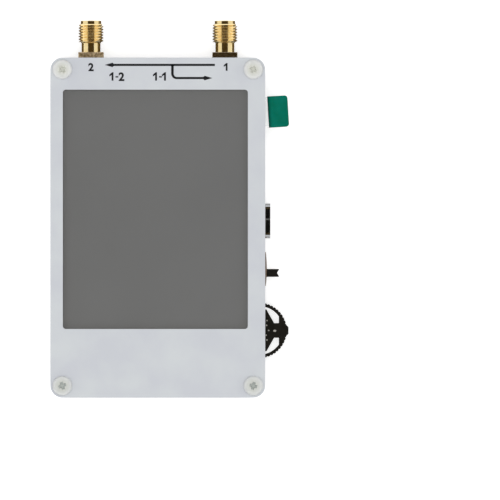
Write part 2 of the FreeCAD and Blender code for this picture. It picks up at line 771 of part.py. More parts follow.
def usb_socket():
    """Socket on the rear face of the main board, its mouth just past the panel's edge."""
    shell = new_body("usb_shell", "usb_front", "usb_y", "usb_z")
    outer = new_sketch(shell, "YZ_Plane")
    rounded_rectangle(outer, "usb_width", "usb_height", "usb_height / 2 - usb_wall / 10")
    pad(shell, outer, "usb_length", backwards=True)
    feet = new_sketch(shell, height="usb_height / 2")
    for sign in (-1, 1):
        side = sorted((f"{sign} * (usb_width / 2 + usb_foot)", f"{sign} * (usb_width / 2 - usb_height / 2)"),
                      key=value)
        for start in ("usb_reach + usb_foot", "usb_length - usb_foot_length"):
            rectangle(feet, f"-({start}) - usb_foot_length", f"-({start})", *side)
    pad(shell, feet, "usb_foot_thickness", backwards=True)
    inner = new_sketch(shell, "YZ_Plane")
    rounded_rectangle(inner, "usb_width - 2 * usb_wall", "usb_height - 2 * usb_wall",
                      "usb_height / 2 - usb_wall * 11 / 10")
    pocket(shell, inner, "usb_length - usb_wall")
    nodes["usb_shell"] = shell

    block_back = "usb_front - usb_length + usb_wall"
    block_front = f"{block_back} + usb_block_length"
    tongue = new_body("usb_tongue", block_back, "usb_y", "usb_z")
    carrier = new_sketch(tongue, "YZ_Plane")
    slack = "2 * (usb_wall + contact_clearance)"
    rounded_rectangle(carrier, f"usb_width - {slack}", f"usb_height - {slack}",
                      "usb_height / 2 - usb_wall * 12 / 10 - contact_clearance")
    pad(tongue, carrier, "usb_block_length")
    blade = new_sketch(tongue, "YZ_Plane")
    rectangle(blade, "-usb_tongue_width / 2", "usb_tongue_width / 2",
              "-usb_tongue_thickness / 2", "usb_tongue_thickness / 2")
    pad(tongue, blade, "usb_length - usb_wall - usb_tongue_setback")
    nodes["usb_tongue"] = tongue

    strips = []
    count = int(value("usb_contact_count"))
    for number in range(count):
        middle = f"usb_y + usb_contact_pitch * {number - (count - 1) / 2}"
        side = (f"{middle} - usb_contact_width / 2", f"{middle} + usb_contact_width / 2")
        length = (block_front, f"{block_front} + usb_contact_length")
        above, below = "usb_z + usb_tongue_thickness / 2", "usb_z - usb_tongue_thickness / 2"
        upper = (above, f"{above} + usb_contact_thickness")
        lower = (f"{below} - usb_contact_thickness", below)
        strips.append(block(f"contact_above_{number}", length, side, upper))
        strips.append(block(f"contact_below_{number}", length, side, lower))
        solder = (f"usb_front - usb_length - usb_foot", "usb_front - usb_length")
        strips.append(block(f"contact_foot_{number}", solder, side,
                            ("board_low - usb_contact_thickness", "board_low")))
    group("usb_contacts", strips)


# ---- power slide switch ----

def power_switch():
    """Slide switch with its knob through the panel-side face, sliding along Y."""
    frame = new_body("power_switch_frame", "switch_front", "switch_y", "switch_z")
    half_y, half_z = "switch_length / 2", "switch_height / 2"
    outer = new_sketch(frame, "YZ_Plane")
    rectangle(outer, f"-{half_y}", half_y, f"-{half_z}", half_z)
    pad(frame, outer, "switch_depth", backwards=True)
    rear = new_sketch(frame, "YZ_Plane", height="-switch_depth")
    rectangle(rear, f"-{half_y} + switch_wall", f"{half_y} - switch_wall",
              f"-{half_z} + switch_wall", f"{half_z} - switch_wall")
    pocket(frame, rear, "switch_depth - switch_wall", backwards=True)
    slot = new_sketch(frame, "YZ_Plane")
    half_slot = "(switch_travel + knob_width) / 2 + switch_clearance"
    half_slot_z = "knob_thickness / 2 + switch_clearance"
    rectangle(slot, f"-({half_slot})", half_slot, f"-({half_slot_z})", half_slot_z)
    pocket(frame, slot)
    nodes["power_switch_frame"] = frame

    inner_y = ("switch_y - switch_length / 2 + switch_wall", "switch_y + switch_length / 2 - switch_wall")
    inner_z = ("board_low - switch_height + switch_wall", "board_low - switch_wall")
    base_back = "switch_front - switch_depth"
    nodes["power_switch_base"] = block("power_switch_base", (base_back, f"{base_back} + switch_base_depth"),
                                       inner_y, inner_z)

    knob = new_body("power_switch_knob", "switch_inner_front", "switch_y - switch_travel / 2", "switch_z")
    slider = new_sketch(knob, "YZ_Plane", height="-switch_clearance")
    half_height = "(switch_height / 2 - switch_wall - switch_clearance)"
    rectangle(slider, "-slider_length / 2", "slider_length / 2", f"-{half_height}", half_height)
    pad(knob, slider, "switch_depth - switch_wall - switch_base_depth - 2 * switch_clearance", backwards=True)
    stem = new_sketch(knob)
    tip = "switch_wall + knob_reach"
    outline(stem, [("-2 * switch_clearance", "-knob_width / 2"), (tip, "-knob_width / 2"),
                   (tip, "-knob_notch_width / 2"), (f"{tip} - knob_notch_depth", "0"),
                   (tip, "knob_notch_width / 2"), (tip, "knob_width / 2"),
                   ("-2 * switch_clearance", "knob_width / 2")])
    pad(knob, stem, "knob_thickness", both_ways=True)
    nodes["power_switch_knob"] = knob

    pins = []
    for number in (-1, 0, 1):
        middle = f"switch_y + {number} * terminal_pitch"
        side = (f"{middle} - terminal_side / 2", f"{middle} + terminal_side / 2")
        out = block(f"terminal_arm_{number + 1}", (f"{base_back} - terminal_reach", base_back), side,
                    ("switch_z - terminal_side / 2", "switch_z + terminal_side / 2"))
        down = block(f"terminal_leg_{number + 1}",
                     (f"{base_back} - terminal_reach", f"{base_back} - terminal_reach + terminal_side"), side,
                     ("switch_z - terminal_side / 2", "board_low"))
        pin = model.addObject("Part::Fuse", f"terminal_{number + 1}")
        pin.Base, pin.Tool = out, down
        pins.append(pin)
    group("power_switch_terminals", pins)


# ---- jog thumb lever ----

def jog_lever():
    """Rim, neck and hub in one moulding, turning about the pivot at its local origin."""
    lever = new_body("jog_lever", "jog_x", "jog_y", "lever_low")
    radius, inner = value("jog_radius"), value("jog_radius - jog_rim")
    half_angle = math.radians(value("jog_rim_half_angle"))
    upright = FreeCAD.Vector(0, 0, 1)
    rim = new_sketch(lever)
    centre = FreeCAD.Vector(0, 0, 0)
    for size in (radius, inner):
        rim.addGeometry(Part.ArcOfCircle(Part.Circle(centre, upright, size), -half_angle, half_angle))
    for side in (-half_angle, half_angle):
        ray = FreeCAD.Vector(math.cos(side), math.sin(side), 0)
        rim.addGeometry(Part.LineSegment(ray * radius, ray * inner))
    for arc in (0, 1):
        rim.addConstraint(Sketcher.Constraint("Coincident", arc, 3, -1, 1))
    for arc, line_end in ((0, 1), (1, 2)):
        rim.addConstraint(Sketcher.Constraint("Coincident", arc, 1, 2, line_end))
        rim.addConstraint(Sketcher.Constraint("Coincident", arc, 2, 3, line_end))
    measure(rim, "Radius", 0, text="jog_radius")
    measure(rim, "Radius", 1, text="jog_radius - jog_rim")
    for side in (2, 3):
        measure(rim, "DistanceX", -1, 1, side, 1, text="jog_radius * cos(jog_rim_half_angle)")
        measure(rim, "DistanceX", -1, 1, side, 2, text="(jog_radius - jog_rim) * cos(jog_rim_half_angle)")
    pad(lever, rim, "jog_thickness")

    # the web in front of the cutouts, whose corners lie in the middle of the rim
    web = new_sketch(lever)
    mid_rim = "(jog_radius - jog_rim / 2)"
    web_half = f"sqrt({mid_rim}^2 - jog_web_front^2)"
    slope = f"{mid_rim} * 0.866"
    outline(web, [("jog_web_front", f"-{web_half}"), (slope, f"-{mid_rim} / 2"), (mid_rim, "0"),
                  (slope, f"{mid_rim} / 2"), ("jog_web_front", web_half)])
    pad(lever, web, "jog_thickness")

    # the bump at the middle of the rim
    bump = new_sketch(lever)
    bump_tip, bump_half = "jog_radius + jog_bump", "jog_bump_width / 2"
    bump_root = "(jog_radius - jog_rim)"
    outline(bump, [(bump_root, f"-{bump_half} - jog_bump_slope"),
                   (f"{bump_root} + jog_rim * 0.75", f"-{bump_half} - jog_bump_slope"),
                   (bump_tip, f"-{bump_half}"), (bump_tip, bump_half),
                   (f"{bump_root} + jog_rim * 0.75", f"{bump_half} + jog_bump_slope"),
                   (bump_root, f"{bump_half} + jog_bump_slope")])
    pad(lever, bump, "jog_thickness")

    hub = new_sketch(lever)
    neck, wide, back = "jog_neck_width / 2", "jog_hub_width / 2", "jog_hub_back_width / 2"
    outline(hub, [("jog_web_front", f"-{neck}"), ("jog_web_front", neck), ("jog_hub_front", neck),
                  ("jog_hub_shoulder", wide), ("-jog_hub_shoulder", wide), ("-jog_hub_back", back),
                  ("-jog_hub_back", f"-{back}"), ("-jog_hub_shoulder", f"-{wide}"),
                  ("jog_hub_shoulder", f"-{wide}"), ("jog_hub_front", f"-{neck}")])
    pad(lever, hub, "jog_thickness")
    bore = new_sketch(lever)
    circle(bore, "pivot_radius + pivot_clearance")
    pocket(lever, bore)
    for sign in (-1, 1):
        teeth(lever, sign)
    nodes["jog_lever"] = lever


def teeth(lever, sign):
    """Grooves between the rim's grip teeth, patterned outwards from one side of the bump."""
    groove = new_sketch(lever)
    width = "jog_radius * jog_tooth_angle / 180 * 3.1416"
    spokes = [("jog_radius * 1.01", f"-{width} / 4"), ("jog_radius - jog_tooth_depth", "0"),
              ("jog_radius * 1.01", f"{width} / 4")]
    turn = f"({sign} * jog_first_tooth)"
    outline(groove, [(f"({x}) * cos{turn} - ({y}) * sin{turn}", f"({x}) * sin{turn} + ({y}) * cos{turn}")
                     for x, y in spokes])
    cut = pocket(lever, groove)
    pattern = lever.newObject("PartDesign::PolarPattern", "grip_teeth")
    pattern.Originals = [cut]
    pattern.Axis = (groove, ["N_Axis"])
    pattern.Reversed = sign < 0
    bind(pattern, Angle="jog_tooth_angle * (jog_teeth - 1)", Occurrences="jog_teeth")
    lever.Tip = pattern
    model.recompute()


def jog_switch():
    jog_lever()
    base = new_body("jog_base", "jog_x", "jog_y", "board_low")
    slab = new_sketch(base)
    rectangle(slab, "-jog_base_back", "jog_base_front", "-jog_base_width / 2", "jog_base_width / 2")
    pad(base, slab, "jog_base_height", backwards=True)
    rear = new_sketch(base)
    rectangle(rear, "-jog_base_back", "-jog_base_back + jog_block_length",
              "-jog_block_width / 2", "jog_block_width / 2")
    pad(base, rear, "board_low - cover_high", backwards=True)
    channel = new_sketch(base, height="-jog_base_height")
    channel_half = "(carrier_width / 2 + carrier_clearance)"
    channel_front = "(carrier_front + carrier_clearance)"
    rectangle(channel, "-carrier_back - jog_push - push_spring_length", channel_front,
              f"-{channel_half}", channel_half)
    pocket(base, channel, "jog_base_height - pocket_floor", backwards=True)
    nodes["jog_base"] = base

    carrier = new_body("jog_carrier", "jog_x", "jog_y", "jog_bay_low + carrier_clearance")
    plate = new_sketch(carrier)
    rectangle(plate, "-carrier_back", "carrier_front", "-carrier_width / 2", "carrier_width / 2")
    pad(carrier, plate, "carrier_thickness")
    seat = new_sketch(carrier)
    circle(seat, "pivot_radius")
    pocket(carrier, seat)
    nodes["jog_carrier"] = carrier

    pin = model.addObject("Part::Cylinder", "jog_pivot_pin")
    pin.Label = "jog_pivot_pin"
    bind(pin, Radius="pivot_radius",
         Height="jog_thickness - pivot_end_gap + jog_gap + carrier_clearance + carrier_thickness")
    place(pin, "jog_x", "jog_y", "lever_low + pivot_end_gap")
    nodes["jog_pivot_pin"] = pin

    cover = block("jog_cover", ("jog_x - jog_base_back", "jog_x + jog_cover_front"),
                  ("jog_y - jog_cover_width / 2", "jog_y + jog_cover_width / 2"), ("cover_low", "cover_high"))
    nodes["jog_cover"] = cover
    jog_springs()
    jog_terminals()


def jog_springs():
    """Coil behind the carrier, and two leaves that centre the lever and close its contacts."""
    pitch = value("push_spring_length / push_spring_turns")
    radius, wire = value("push_spring_radius"), value("push_spring_wire")
    helix = Part.makeHelix(pitch, value("push_spring_length") - 2 * wire, radius)
    section = Part.Wire([Part.Circle(FreeCAD.Vector(radius, 0, 0), FreeCAD.Vector(0, 1, 0), wire).toShape()])
    coil = Part.Wire(helix.Edges).makePipeShell([section], True, True)
    coil.rotate(FreeCAD.Vector(0, 0, 0), FreeCAD.Vector(0, 1, 0), -90)
    centre = "jog_bay_low + carrier_clearance + carrier_thickness / 2"
    computed("jog_push_spring", coil, "jog_x - carrier_back - push_spring_wire", "jog_y", centre)

    leaves = []
    for sign in (-1, 1):
        leaf = new_body(f"leaf_{sign + 1}", "jog_x", "jog_y", "lever_low + jog_thickness / 2")
        strip = new_sketch(leaf)
        root = "(jog_base_back - jog_block_length)"
        tip = "(jog_hub_back + carrier_clearance)"
        y_root, y_tip = f"{sign} * side_spring_offset", f"{sign} * (side_spring_offset - side_spring_lean)"
        outline(strip, [(f"-{root}", y_root), (f"-{tip}", y_tip),
                        (f"-{tip}", f"{y_tip} + side_spring_thickness"),
                        (f"-{root}", f"{y_root} + side_spring_thickness")])
        pad(leaf, strip, "side_spring_height", both_ways=True)
        leaves.append(leaf)
    group("jog_contact_springs", leaves)


def jog_terminals():
    legs = []
    for number in range(-2, 3):
        middle = f"jog_y + {number} * jog_terminal_pitch"
        side = (f"{middle} - jog_terminal_width / 2", f"{middle} + jog_terminal_width / 2")
        end = "jog_x - jog_base_back"
        legs.append(block(f"jog_terminal_{number + 2}", (f"{end} - jog_terminal_length", end), side,
                          ("board_low - jog_terminal_thickness", "board_low")))
    group("jog_terminals", legs)


# ---- power supply ----

def battery():
    cell = new_body("battery_cell", "battery_x", "battery_y", "battery_low")
    side = new_sketch(cell, "XZ_Plane")
    rounded_rectangle(side, "battery_width", "battery_thickness", "battery_corner",
                      "0", "battery_thickness / 2")
    pad(cell, side, "battery_height", both_ways=True)
    nodes["battery_cell"] = cell
    nodes["battery_tape"] = centred_block("battery_tape", "battery_x", "battery_y",
                                          ("board_low - tape_thickness", "board_low"),
                                          "battery_tape_width", "battery_tape_height")
    battery_lead("battery_lead_red", -1)
    battery_lead("battery_lead_black", 1)


def battery_lead(label, sign):
    """Lead from the cell's edge to its pad on the main board: straight runs and tangent arcs."""
    run, radius = value("lead_run"), value("lead_radius")
    rise = value("board_low - lead_z") - radius
    corners = [FreeCAD.Vector(0, 0, 0), FreeCAD.Vector(0, run, 0), FreeCAD.Vector(0, 2 * run, rise),
               FreeCAD.Vector(0, 3 * run, rise)]
    section = Part.Wire([Part.Circle(corners[0], FreeCAD.Vector(0, 1, 0), radius).toShape()])
    tube = rounded_path(corners).makePipeShell([section], True, False)
    computed(label, tube, f"battery_x + {sign} * lead_spacing / 2", "battery_edge", "lead_z")


def rounded_path(corners):
    """Straight runs joined by tangent arcs, each as large as 0.45 of its shorter run allows."""
    edges = []
    start = corners[0]
    for before, corner, after in zip(corners, corners[1:], corners[2:]):
        come, go = corner - before, after - corner
        reach = 0.45 * min(come.Length, go.Length)
        come.normalize()
        go.normalize()
        first, last = corner - come * reach, corner + go * reach
        half_turn = come.getAngle(go) / 2
        inwards = (go - come).normalize()
        arc_radius = reach / math.tan(half_turn)
        middle = corner + inwards * (arc_radius / math.cos(half_turn) - arc_radius)
        edges.append(Part.LineSegment(start, first).toShape())
        edges.append(Part.Arc(first, middle, last).toShape())
        start = last
    edges.append(Part.LineSegment(start, corners[-1]).toShape())
    return Part.Wire(edges)


# ---- electronic parts ----

def leg_ends(half, sign):
    """Inner and outer end of a leg on one side of a chip, the lower one first."""
    inner, outer = f"({half} - lead_frame_thickness)", f"({half} + lead_frame_reach)"
    return sorted((f"{sign} * {inner}", f"{sign} * {outer}"), key=value)


def legged_chip(label, x, y, size_x, size_y, thickness, pitch, pin_count, four_sides=False):
    """Moulded chip with a row of flat legs on both X sides, or on all four sides."""
    top = "board_low - flat_chip_gap"
    half_x, half_y = f"({size_x}) / 2", f"({size_y}) / 2"
    solids = [box_shape((f"-{half_x}", half_x), (f"-{half_y}", half_y), (f"{top} - ({thickness})", top))]
    foot_z = ("board_low - lead_frame_thickness", "board_low")
    for sign in (-1, 1):
        for number in range(int(value(pin_count))):
            middle = f"{pitch} * ({number} - ({pin_count} - 1) / 2)"
            side = (f"{middle} - {pitch} / 4", f"{middle} + {pitch} / 4")
            solids.append(box_shape(leg_ends(half_x, sign), side, foot_z))
            if four_sides:
                solids.append(box_shape(side, leg_ends(half_y, sign), foot_z))
    chip = solids[0].multiFuse(solids[1:])
    return computed(label, chip, x, y) if label else chip


def shield_cans():
    """Two drawn covers, open towards the main board."""
    can = new_body("shield_can", z="board_low")
    edge = new_sketch(can)
    rounded_rectangle(edge, "can_width", "can_height", "can_corner")
    pad(can, edge, "can_depth", backwards=True)
    inside = new_sketch(can)
    rounded_rectangle(inside, "can_width - 2 * can_wall", "can_height - 2 * can_wall",
                      "can_corner - can_wall")
    pocket(can, inside, "can_depth - can_wall")
    upright = FreeCAD.Rotation()
    spots = [(f"{sign} * can_spacing / 2", "can_y", "board_low", upright) for sign in (-1, 1)]
    copies("shield_cans", can, spots)


def mixer_chips():
    spots = (("-can_spacing / 2 - mixer_offset", "can_y"), ("-can_spacing / 2 + mixer_offset", "can_y"),
             ("can_spacing / 2", "can_y"))
    chips = []
    for x, y in spots:
        chip = legged_chip(None, x, y, "mixer_width", "mixer_length", "mixer_thickness",
                           "mixer_pin_pitch", "mixer_pin_count")
        chip.translate(FreeCAD.Vector(value(x), value(y), 0))
        chips.append(chip)
    computed("mixer_chips", Part.makeCompound(chips))


def small_passives():
    """Chip resistors and capacitors in rows beside the larger parts."""
    rows = (("processor_x - processor_side", "processor_y + processor_side", 6),
            ("codec_x - codec_side", "codec_y - codec_side", 6),
            ("charger_x - passive_pitch", "charger_y + inductor_side", 3),
            ("-half_width + screw_inset", "processor_y - processor_side", 5))
    parts = []
    for row, (x, y, count) in enumerate(rows):
        for number in range(count):
            parts.append(centred_block(f"passive_{row}_{number}", f"{x} + {number} * passive_pitch", y,
                                       ("board_low - passive_thickness", "board_low"),
                                       "passive_width", "passive_length"))
    group("small_passives", parts)


def electronics():
    shield_cans()
    mixer_chips()
    legged_chip("processor_chip", "processor_x", "processor_y", "processor_side", "processor_side",
                "processor_thickness", "fine_pin_pitch", "processor_pin_count", four_sides=True)
    legged_chip("clock_chip", "clock_x", "clock_y", "clock_side", "clock_side",
                "clock_thickness", "fine_pin_pitch", "clock_pin_count")
    legged_chip("charger_chip", "charger_x", "charger_y", "mixer_width", "mixer_length",
                "mixer_thickness", "mixer_pin_pitch", "mixer_pin_count")
    plain = (("codec_chip", "codec_x", "codec_y", "codec_thickness", "codec_side", "codec_side"),
             ("oscillator_can", "clock_x", "oscillator_y", "oscillator_thickness",
              "oscillator_width", "oscillator_height"),
             ("power_inductor", "inductor_x", "inductor_y", "inductor_thickness",
              "inductor_side", "inductor_side"))
    for label, x, y, thickness, size_x, size_y in plain:
        nodes[label] = centred_block(label, x, y, (f"board_low - {thickness}", "board_low"), size_x, size_y)
    small_passives()
    lights = [centred_block(f"light_{number}", "light_x", f"light_y + {number} * light_pitch",
                            ("board_low - light_thickness", "board_low"), "light_width", "light_length")
              for number in range(2)]
    group("status_lights", lights)


# ---- the whole analyzer ----

board("front_panel", "front_panel_low", "panel_thickness", window=True)
board("back_panel", "0", "panel_thickness")
board("main_board", "board_low", "board_thickness")
fasteners()
display()
jack(1, 1)
jack(2, -1)
usb_socket()
power_switch()
jog_switch()
battery()
electronics()
model.recompute()

for item in model.Objects:
    if "Invalid" in item.State or "Error" in item.State:
        raise RuntimeError(f"{item.Label} failed: {item.State}")
for label, item in nodes.items():
    if item.Shape.isNull() or not item.Shape.isValid():
        raise RuntimeError(f"{label} has no valid shape")

os.makedirs("parts", exist_ok=True)
for label, item in nodes.items():
    item.Shape.exportStep(os.path.join("parts", label + ".step"))
    print(f"{label}: {len(item.Shape.Solids)} solid(s), {item.Shape.Volume:.2f} mm3")
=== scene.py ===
import json
import math

import bmesh
import bpy
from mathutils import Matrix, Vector


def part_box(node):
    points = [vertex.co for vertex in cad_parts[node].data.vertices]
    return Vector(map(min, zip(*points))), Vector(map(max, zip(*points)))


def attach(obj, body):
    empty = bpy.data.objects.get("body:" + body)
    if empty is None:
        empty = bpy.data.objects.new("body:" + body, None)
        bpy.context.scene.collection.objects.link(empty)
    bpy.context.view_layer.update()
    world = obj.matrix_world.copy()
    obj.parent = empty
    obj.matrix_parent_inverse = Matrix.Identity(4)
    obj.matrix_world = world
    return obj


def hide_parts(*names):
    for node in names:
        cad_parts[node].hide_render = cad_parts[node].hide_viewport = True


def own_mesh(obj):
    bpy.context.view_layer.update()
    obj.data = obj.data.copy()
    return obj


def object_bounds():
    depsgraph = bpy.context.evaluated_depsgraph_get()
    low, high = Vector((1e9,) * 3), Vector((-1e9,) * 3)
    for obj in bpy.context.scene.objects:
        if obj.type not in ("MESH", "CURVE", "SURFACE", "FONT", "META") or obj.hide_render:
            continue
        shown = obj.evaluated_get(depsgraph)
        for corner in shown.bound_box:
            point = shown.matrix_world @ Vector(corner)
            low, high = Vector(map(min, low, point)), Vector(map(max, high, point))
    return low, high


# The looks of a two-port antenna analyzer: white boards on nylon spacers, gold jacks, a jog lever,
# a slide switch and a grey touch screen. Sizes below are in millimetres and MM turns them to metres.

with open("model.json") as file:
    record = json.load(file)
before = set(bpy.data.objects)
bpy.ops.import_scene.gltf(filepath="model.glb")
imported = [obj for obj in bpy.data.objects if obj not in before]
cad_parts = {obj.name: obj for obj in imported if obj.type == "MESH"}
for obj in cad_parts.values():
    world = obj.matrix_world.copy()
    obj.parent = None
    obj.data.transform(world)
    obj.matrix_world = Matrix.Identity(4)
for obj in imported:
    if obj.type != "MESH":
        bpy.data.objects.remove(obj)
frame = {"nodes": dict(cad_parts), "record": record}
cad_low, cad_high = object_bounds()

MM = 0.001
TINY = 1e-7         # metres, the reach within which a cut takes two points for one
MERGE = TINY * 5    # metres, the reach within which points are merged
FACING = 0.9        # a face looks along an axis when its normal has at least this much of it
SPARE = 0.1         # how far a cutting tool stands out of what it cuts
SHARP = math.radians(40)        # edges that bend by more are rounded
GENTLE = math.radians(35)       # faces that bend by less are shaded as one
FLAT = math.radians(1)          # faces that bend by less are made one
SCREW_X, SCREW_Y = 24.0, 39.75      # places of the four corner screws, to each side of the middle
TAB_MIDDLE, TAB_WIDTH, TAB_TILT = (30.25, 29.2, 0.0), 5.1, 3.4      # the pull tab, turned a few degrees
slot_of = {part["node"]: part["material_slot"] for part in frame["record"]["subparts"]}
body_of = {node: body for body, nodes in frame["record"]["behaviour"]["bodies"].items() for node in nodes}


# ---- bench tools ----

def activate(piece):
    """Select one piece alone."""
    bpy.ops.object.select_all(action="DESELECT")
    piece.select_set(True)
    bpy.context.view_layer.objects.active = piece


def primitive(kind, name, **settings):
    """A new mesh primitive, alone in the selection."""
    getattr(bpy.ops.mesh, f"primitive_{kind}_add")(**settings)
    piece = bpy.context.object
    piece.name = piece.data.name = name
    return piece


def edit(piece):
    """Enter edit mode on a piece, with all of it selected."""
    activate(piece)
    bpy.ops.object.mode_set(mode="EDIT")
    bpy.ops.mesh.select_mode(type="VERT")
    bpy.ops.mesh.select_all(action="SELECT")


def leave_edit():
    """Go back to object mode."""
    bpy.ops.object.mode_set(mode="OBJECT")


def pick(kind, test):
    """In edit mode, select only the faces or edges that pass a test."""
    bpy.ops.mesh.select_mode(type=kind)
    bpy.ops.mesh.select_all(action="DESELECT")
    mesh = bpy.context.object.data
    form = bmesh.from_edit_mesh(mesh)
    for part in {"FACE": form.faces, "EDGE": form.edges}[kind]:
        part.select_set(test(part))
    form.select_flush_mode()
    bmesh.update_edit_mesh(mesh)


def modify(piece, kind, **settings):
    """Add one modifier and apply it."""
    activate(piece)
    modifier = piece.modifiers.new(kind.title(), kind)
    for name, setting in settings.items():
        setattr(modifier, name, setting)
    bpy.ops.object.modifier_apply(modifier=modifier.name)


def soften(piece, width, segments=2):
    """Round the sharp edges, as moulding and plating leave them."""
    modify(piece, "BEVEL", width=width * MM, segments=segments, limit_method="ANGLE", angle_limit=SHARP)


def shape_with(piece, tool, operation):
    """Cut, fuse or intersect a piece with another closed piece, which is used up."""
    modify(piece, "BOOLEAN", object=tool, operation=operation, solver="EXACT")
    bpy.data.objects.remove(tool)


def join(pieces, name):
    """Make one piece of several, under a new name."""
    activate(pieces[0])
    for piece in pieces:
        piece.select_set(True)
    bpy.ops.object.join()
    pieces[0].name = pieces[0].data.name = name
    return pieces[0]


def move(piece, place=(0, 0, 0), turn=(0, 0, 0)):
    """Turn a piece in degrees, move it in millimetres, and put both into its mesh."""
    activate(piece)
    piece.rotation_euler = [math.radians(angle) for angle in turn]
    piece.location = Vector(place) * MM
    bpy.ops.object.transform_apply()


def block(name, low, high, edge=0.0):
    """A box between two corners in millimetres, its edges rounded if edge is given."""
    low, high = Vector(low) * MM, Vector(high) * MM
    piece = primitive("cube", name, size=1, location=(low + high) / 2)
    piece.scale = high - low
    bpy.ops.object.transform_apply()
    if edge:
        soften(piece, edge, segments=3)
    return piece


def draw(name, points):
    """A chain of edges through points in millimetres, left in edit mode."""
    piece = primitive("plane", name, size=MM)
    edit(piece)
    bpy.ops.mesh.merge(type="CENTER")
    bpy.ops.transform.translate(value=Vector(points[0]) * MM)
    for here, there in zip(points, points[1:]):
        step = (Vector(there) - Vector(here)) * MM
        bpy.ops.mesh.extrude_vertices_move(TRANSFORM_OT_translate={"value": step})
    bpy.ops.mesh.select_all(action="SELECT")
    return piece


def slice_at(place, outwards, cut_off=True):
    """In edit mode, divide a piece at a plane; what lies beyond it is cut off and the cut closed."""
    bpy.ops.mesh.select_all(action="SELECT")
    bpy.ops.mesh.bisect(plane_co=Vector(place) * MM, plane_no=outwards, use_fill=cut_off,
                        clear_outer=cut_off, threshold=TINY)


def close_up():
    """In edit mode, merge what meets and turn all faces outwards."""
    bpy.ops.mesh.select_all(action="SELECT")
    bpy.ops.mesh.remove_doubles(threshold=MERGE)
    bpy.ops.mesh.normals_make_consistent(inside=False)
    leave_edit()


def turned(name, profile, steps=64):
    """A piece turned about Z from a profile of (radius, height) points in millimetres."""
    piece = draw(name, [(radius, 0, height) for radius, height in profile])
    bpy.ops.mesh.spin(steps=steps, angle=math.tau, center=(0, 0, 0), axis=(0, 0, 1))
    close_up()
    return piece


def plate(name, outline, low, high):
    """A flat piece between two levels, from the (x, y) points of its outline."""
    piece = draw(name, [(x, y, low) for x, y in outline])
    bpy.ops.mesh.edge_face_add()
    bpy.ops.mesh.extrude_region_move(TRANSFORM_OT_translate={"value": (0, 0, (high - low) * MM)})
    close_up()
    return piece


def arc(centre, radius, start, end, steps=8):
    """Points on an arc between two angles in degrees; a pair of radii gives its first and its last one."""
    first, last = radius if isinstance(radius, tuple) else (radius, radius)
    points = []
    for step in range(steps + 1):
        share = step / steps
        angle = math.radians(start + (end - start) * share)
        reach = first + (last - first) * share
        points.append((centre[0] + reach * math.cos(angle), centre[1] + reach * math.sin(angle)))
    return points


def copy_of(piece, name, place, turn):
    """A copy with its own mesh, turned and moved."""
    twin = bpy.data.objects.new(name, piece.data.copy())
    bpy.context.scene.collection.objects.link(twin)
    move(twin, place, turn)
    return twin


def span(node):
    """A CAD node's lowest and highest corners, in millimetres."""
    low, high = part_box(node)
    return low / MM, high / MM


def solids_of(node):
    """The lowest and highest corners of each separate solid in a CAD node, in millimetres."""
    whole = clean_copy(node)
    edit(whole)
    bpy.ops.mesh.separate(type="LOOSE")
    leave_edit()
    boxes = []
    for part in list(bpy.context.selected_objects):
        places = [list(point.co) for point in part.data.vertices]
        boxes.append((Vector(map(min, zip(*places))) / MM, Vector(map(max, zip(*places))) / MM))
        bpy.data.objects.remove(part)
    return boxes


def clean_copy(node, name=None):
    """A copy of a CAD node with its loose triangles merged into whole faces."""
    mesh = frame["nodes"][node].data.copy()
    piece = bpy.data.objects.new(name or node + "_finished", mesh)
    bpy.context.scene.collection.objects.link(piece)
    edit(piece)
    bpy.ops.mesh.customdata_custom_splitnormals_clear()
    bpy.ops.mesh.remove_doubles(threshold=MERGE * 2)
    bpy.ops.mesh.dissolve_limited(angle_limit=FLAT)
    leave_edit()
    return piece


def clear_slivers(piece):
    """Merge what all but meets, and drop the faces without area that cuts leave behind."""
    edit(piece)
    bpy.ops.mesh.remove_doubles(threshold=MERGE)
    bpy.ops.mesh.dissolve_degenerate(threshold=MERGE)
    leave_edit()


def shade(piece):
    """Smooth over gentle bends; flat faces stay flat up to their rounded edges."""
    activate(piece)
    bpy.ops.object.shade_smooth_by_angle(angle=GENTLE)
    modify(piece, "WEIGHTED_NORMAL", keep_sharp=True)


def hand_over(piece, node, material=None):
    """Shade a finished piece and put it in the place of a CAD node: same body, same finish."""
    clear_slivers(piece)
    shade(piece)
    piece.data.materials.clear()
    piece.data.materials.append(material or FINISHES[slot_of[node]])
    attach(piece, body_of[node])
    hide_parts(node)
    return piece


def rounded(ending, edges, segments=2):
    """Hand over CAD nodes in their own shape with rounded edges; the ending says how they are made."""
    for node, edge in edges.items():
        piece = clean_copy(node, f"{node}_{ending}")
        soften(piece, edge, segments)
        hand_over(piece, node)


# ---- finishes ----

def paint(code):
    """Linear red, green, blue and opacity of an sRGB hex colour."""
    parts = [int(code[start:start + 2], 16) / 255 for start in (1, 3, 5)]
    return [part / 12.92 if part <= 0.04045 else ((part + 0.055) / 1.055) ** 2.4 for part in parts] + [1.0]


def add_node(material, kind, settings):
    """Add a node; a setting fills a field or an input, or links a socket to an input."""
    tree = material.node_tree
    made = tree.nodes.new("ShaderNode" + kind)
    for name, setting in settings.items():
        if isinstance(setting, bpy.types.NodeSocket):
            tree.links.new(setting, made.inputs[name])
        elif isinstance(name, int) or name in made.inputs:
            made.inputs[name].default_value = setting
        else:
            setattr(made, name, setting)
    return made


TONE_STOPS = (0.35, 0.65)       # the noise is all dark below the first and all light above the second
GLOSS_DRIFT = 0.2               # share by which the roughness drifts to either side
PATCH_DETAIL, GRAIN_DETAIL = 3.0, 2.0       # octaves of the two noises


